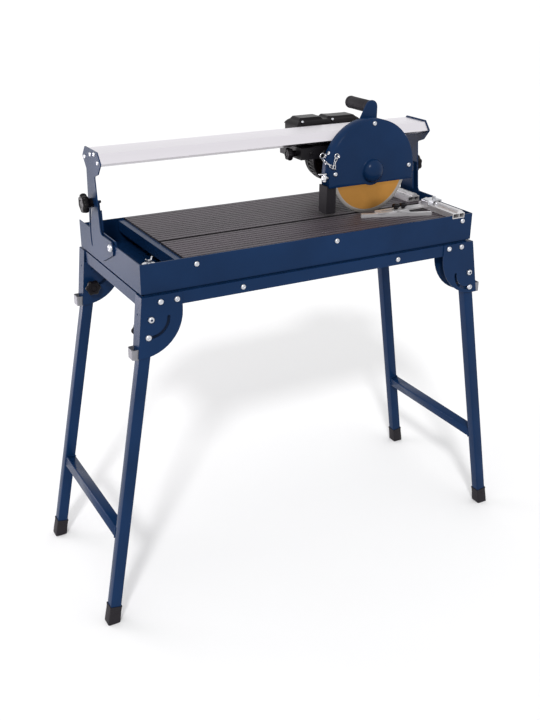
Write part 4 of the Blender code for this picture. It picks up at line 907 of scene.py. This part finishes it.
dish = [(0, -0.0008), (0.004, -0.0007), (0.0065, -0.0002), (0.0078, 0), (0.0088, -0.0008), (0.0090, -0.002),
    (0.0090, -0.0084), (0, -0.0084)]
press = piece("switch_cap", [turned(dish, (face_x, button_at[1], button_at[2]), (1, 0, 0), 40)], plastic,
    "switch")
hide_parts("switch_button")
ring_path = np.column_stack([np.zeros(48), 0.0108 * np.cos(np.linspace(0, 2 * np.pi, 48, endpoint=False)),
    0.0108 * np.sin(np.linspace(0, 2 * np.pi, 48, endpoint=False))])
piece("switch_ring", [tube(ring_path + (box_high[0], button_at[1], button_at[2]), 0.0013, (1, 0, 0), True)],
    chrome, "saw_head")

# %% [markdown]
# The remaining screws of the saw head go in as one object: three round the guard's cover, one in
# its rim, and those of the motor and the box. The guard's rim one lies on a curved wall, so it
# points straight out from the blade's axis. The carriage's screws are black, an object of their own.

# %% Screws of the saw head
for x, z in ((0.0, 0.1045), (0.1010, 0.0025), (-0.0990, 0.0008)):
    head_bolts.append(bolt((blade_at[0] + x, plane_of_cover, blade_at[2] + z), (0, -1, 0), 0.0054))
turn = math.radians(157)
out = np.array([math.cos(turn), 0, math.sin(turn)])
spot = blade_at + out * guard_reach
head_bolts.append(bolt((spot[0], guard_front + 0.019, spot[2]), out, 0.0048))
carriage_low = np.array(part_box("carriage_body")[0])
dark_bolts = [
    bolt((carriage_low[0] + x, carriage_low[1], carriage_low[2] + 0.013), (0, -1, 0),
        0.0045) for x in (0.026, 0.060, 0.175, 0.213)
]
piece("bolts_on_head", head_bolts, zinc, "saw_head")
piece("bolts_on_carriage", dark_bolts, black_paint, "saw_head")

# %% [markdown]
# A chain keeps the transport pin from being lost. Links are rods bent round a stadium: two half
# circles joined by straight sides. Each is turned a quarter against its neighbour. They hang down
# from a ring on the guard's cover and then rise to the pin's eye, so the line is a few bends
# with the links set at equal steps along it.

# %% Transport pin, eye, chain and ring
def stadium(half_length, half_width, steps=7):
    """Points of a link in its own plane: half circles at both ends of a straight middle."""
    turn = np.linspace(-np.pi / 2, np.pi / 2, steps)
    end = np.column_stack([half_length - half_width + half_width * np.cos(turn), half_width * np.sin(turn)])
    return np.concatenate([end, -end])


def link(centre, along, normal, half_length=0.0052, half_width=0.0027, wire=0.00085):
    """One link: the stadium laid along a direction, in the plane across the normal."""
    across = np.cross(normal, along)
    flat = stadium(half_length, half_width)
    return tube(centre + flat[:, :1] * along + flat[:, 1:] * across, wire, normal, True, 8)


pin_low, pin_high = (np.array(corner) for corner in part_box("lock_pin"))
pin_y, pin_z = (pin_low[1] + pin_high[1]) / 2, (pin_low[2] + pin_high[2]) / 2
eye = np.array([pin_low[0] + 0.0072, pin_y, pin_z])
circle = np.linspace(0, 2 * np.pi, 28, endpoint=False)
eye_ring = tube(eye + 0.0057 * np.column_stack([np.cos(circle), 0 * circle, np.sin(circle)]), 0.0013,
    (0, 1, 0), True)
shank = rod(eye + (0.0050, 0, 0), (pin_high[0], pin_y, pin_z), 0.003)
collar = turned([(0, 0.0012), (0.0046, 0.0012), (0.0048, 0.0008), (0.0048, 0.0002), (0.0046, 0), (0, 0)],
    eye + (0.0066, 0, 0), (1, 0, 0), 24)
pull = piece("transport_pin", [eye_ring, shank, collar], chrome, "pin")
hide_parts("lock_pin")
anchor = np.array([blade_at[0] - 0.0985, plane_of_cover - 0.0024, blade_at[2] + 0.0418])
front = anchor[1] - 0.0006
bends = np.array([
    (anchor[0] - 0.0005, front, anchor[2] - 0.0040), (anchor[0] - 0.0042, front, anchor[2] - 0.0120),
    (anchor[0] - 0.0066, front, anchor[2] - 0.0210), (anchor[0] - 0.0038, front, anchor[2] - 0.0292),
    (anchor[0] - 0.0120, front, anchor[2] - 0.0230), (anchor[0] - 0.0205, front, anchor[2] - 0.0160),
    (eye[0] - 0.0010, eye[1] - 0.012, eye[2] - 0.0110), (eye[0] - 0.0010, eye[1] - 0.004, eye[2] - 0.0065),
])
lengths = np.concatenate([[0], np.cumsum(np.linalg.norm(np.diff(bends, axis=0), axis=1))])
count = int(lengths[-1] / 0.0084)
stops = (np.arange(count) + 0.5) / count * lengths[-1]
centres = np.column_stack([np.interp(stops, lengths, bends[:, k]) for k in range(3)])
run = np.gradient(centres, axis=0)
run /= np.linalg.norm(run, axis=1, keepdims=True)
links = []
for number, (centre, along) in enumerate(zip(centres, run)):
    level = np.cross(along, (0, 1, 0))
    level /= np.linalg.norm(level)
    other = np.cross(along, level)
    links.append(link(centre, along, level if number % 2 else other))
ring_at = anchor + (0, -0.001, 0)
links.append(tube(ring_at + 0.0052 * np.column_stack([np.cos(circle), 0 * circle, np.sin(circle)]), 0.0009,
    (0, 1, 0), True))
links.append(bolt((anchor[0] + 0.0062, plane_of_cover, anchor[2] - 0.0020), (0, -1, 0), 0.0036))
piece("pin_chain", links, chrome, "saw_head")
print("chain links", count)

# %% [markdown]
# The water tap on the guard's side is a small brass-bodied valve, plated bright: a barrel with a
# hexagonal collar, a hose spigot below and a flat lever on top. Turned profiles make the round
# parts, and the hexagon is the same helper with six sides.

# %% Water tap and lever
tap_low, tap_high = (np.array(corner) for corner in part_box("water_tap"))
tap_at = np.array([tap_low[0] + 0.0065, (tap_low[1] + tap_high[1]) / 2, tap_low[2]])
tall = tap_high[2] - tap_low[2]
barrel = turned([
    (0, tall), (0.0030, tall), (0.0032, tall - 0.002), (0.0058, tall - 0.0022), (0.0062, tall - 0.003),
        (0.0062, 0.009),
    (0.0045, 0.0085), (0.0045, 0.0045), (0.0052, 0.004), (0.0040, 0.0032), (0.0048, 0.002), (0.0036, 0.001),
        (0.0042, 0.0), (0, 0),
], tap_at, (0, 0, 1), 32)
nut = turned([(0, 0.0095), (0.0060, 0.0095), (0.0065, 0.0090), (0.0065, 0.0055), (0.0060, 0.005),
    (0, 0.005)], tap_at, (0, 0, 1), 6)
boss = rod(tap_at + (0.004, 0, 0.0075), (tap_high[0], tap_at[1], tap_at[2] + 0.0075), 0.0031)
valve = piece("tap_valve", [barrel, nut, boss], chrome, "saw_head", 30)
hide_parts("water_tap")
lever_low, lever_high = (np.array(corner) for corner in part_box("tap_lever"))
lever_plan = rounded_square((lever_high[0] - lever_low[0]) / 2, (lever_high[1] - lever_low[1]) / 2, 0.0042,
    7)
lever_plan[:, 1] *= 0.72 + 0.28 * smooth_step(lever_plan[:, 0], -0.008, 0.008)
lever_middle = ((lever_low[0] + lever_high[0]) / 2, (lever_low[1] + lever_high[1]) / 2, 0)
wing = prism(lever_plan, lever_middle, (1, 0, 0), (0, 1, 0), (0, 0, 1), lever_low[2], lever_high[2], 0.0006)
lever = piece("tap_wing", [wing], chrome, "tap_handle", 30)
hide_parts("tap_lever")

# %% [markdown]
# The drain plug is a standing pipe in the tray's open end: water runs out over its disc, and a
# wing nut on top lets it be pulled. Each wing is a flat outline with thickness, and the second
# is the first one mirrored.

# %% Drain plug
drain = np.array(joints["drain_turn"]["pos_m"], float)
plug_low, plug_high = (np.array(corner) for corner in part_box("drain_plug"))
disc_z = plug_high[2] - 0.0160
pipe_foot = tray_low[2] + 0.0023
pipe = turned([
    (0, disc_z - pipe_foot), (0.0098, disc_z - pipe_foot), (0.0098, 0.004), (0.0115, 0.0034),
        (0.0120, 0.0010), (0.0116, 0), (0, 0),
], (drain[0], drain[1], pipe_foot), (0, 0, 1), 40)
washer = turned([(0, 0.0014), (0.0149, 0.0014), (0.0152, 0.0007), (0.0149, 0), (0, 0)],
    (drain[0], drain[1], disc_z), (0, 0, 1), 48)
piece("plug_rubber", [pipe, washer], rubber, "drain")
disc_steel = turned([
    (0, 0.0050), (0.0048, 0.0050), (0.0056, 0.0032), (0.0130, 0.0030), (0.0142, 0.0026), (0.0146, 0.0016),
        (0, 0.0014),
], (drain[0], drain[1], disc_z), (0, 0, 1), 48)
stem = rod((drain[0], drain[1], plug_low[2]), (drain[0], drain[1], disc_z + 0.0105), 0.003)
wing_edge = np.array([[0.0030, 0.0035], [0.0072, 0.0045], [0.0118, 0.0105], [0.0125, 0.0145],
    [0.0105, 0.0155], [0.0040, 0.0080]])
spin = math.radians(35)
wings = []
for turn in (spin, spin + math.pi):
    out = np.array([math.cos(turn), math.sin(turn), 0])
    flank = np.array([-math.sin(turn), math.cos(turn), 0])
    wings.append(prism(wing_edge, (drain[0], drain[1], disc_z), out, (0, 0, 1), flank, -0.0013, 0.0013,
        0.0003))
plug = piece("plug_plate", [disc_steel, stem, *wings], zinc, "drain")
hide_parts("drain_plug")
print("plug disc at", disc_z)

# %% [markdown]
# The room is plain: a pale floor and white surroundings. Most of the light comes evenly from all
# round. A soft sun in front and to the left adds the rest, and throws the pale shadow that runs
# away to the back. A low lamp behind and to the left is what the ends of the machine mirror.

# %% Floor, lights and surroundings
floor_mesh = bpy.data.meshes.new("floor")
floor_mesh.from_pydata([(-30, -30, -0.0005), (30, -30, -0.0005), (30, 30, -0.0005), (-30, 30, -0.0005)], [],
    [(0, 1, 2, 3)])
floor = bpy.data.objects.new("floor", floor_mesh)
bpy.context.scene.collection.objects.link(floor)
pale = finish("pale_floor", (0.80, 0.80, 0.802), 0.8, spread=0.003, scale=2, grain=60, bump=0.01, shine=0.1)
floor_mesh.materials.append(pale)


def lamp(name, spot, target, size, power, colour=(1, 1, 1)):
    """A square area light at a spot, facing a target."""
    data = bpy.data.lights.new(name, "AREA")
    data.energy, data.size, data.color = power, size, colour
    light = bpy.data.objects.new(name, data)
    spot, target = np.asarray(spot, float), np.asarray(target, float)
    pose = np.eye(4)
    pose[:3, :3] = directions(spot - target).T
    pose[:3, 3] = spot
    light.matrix_world = Matrix(pose.tolist())
    bpy.context.scene.collection.objects.link(light)


KEY_AIM, KEY_STRENGTH, KEY_ANGLE = (0.53, 0.85, -0.78), 1.6, math.radians(7)
aim = np.array(KEY_AIM) / np.linalg.norm(KEY_AIM)
across = np.cross(aim, (0, 0, 1.0))
across /= np.linalg.norm(across)
pose = np.eye(4)
pose[:3, 0], pose[:3, 1], pose[:3, 2] = across, np.cross(across, aim), -aim
sun_data = bpy.data.lights.new("key", "SUN")
sun_data.energy, sun_data.angle = KEY_STRENGTH, KEY_ANGLE
sun = bpy.data.objects.new("key", sun_data)
sun.matrix_world = Matrix(pose.tolist())
bpy.context.scene.collection.objects.link(sun)
lamp("back_left", (-2.1, 1.9, 0.35), (-0.4, 0.0, 0.7), 1.5, 46, (1.0, 0.93, 1.0))
world = bpy.data.worlds.new("surroundings")
world.use_nodes = True
world.node_tree.nodes["Background"].inputs["Color"].default_value = (1, 1, 1, 1)
world.node_tree.nodes["Background"].inputs["Strength"].default_value = 1.0
bpy.context.scene.world = world
bpy.context.scene.view_settings.view_transform = "Standard"
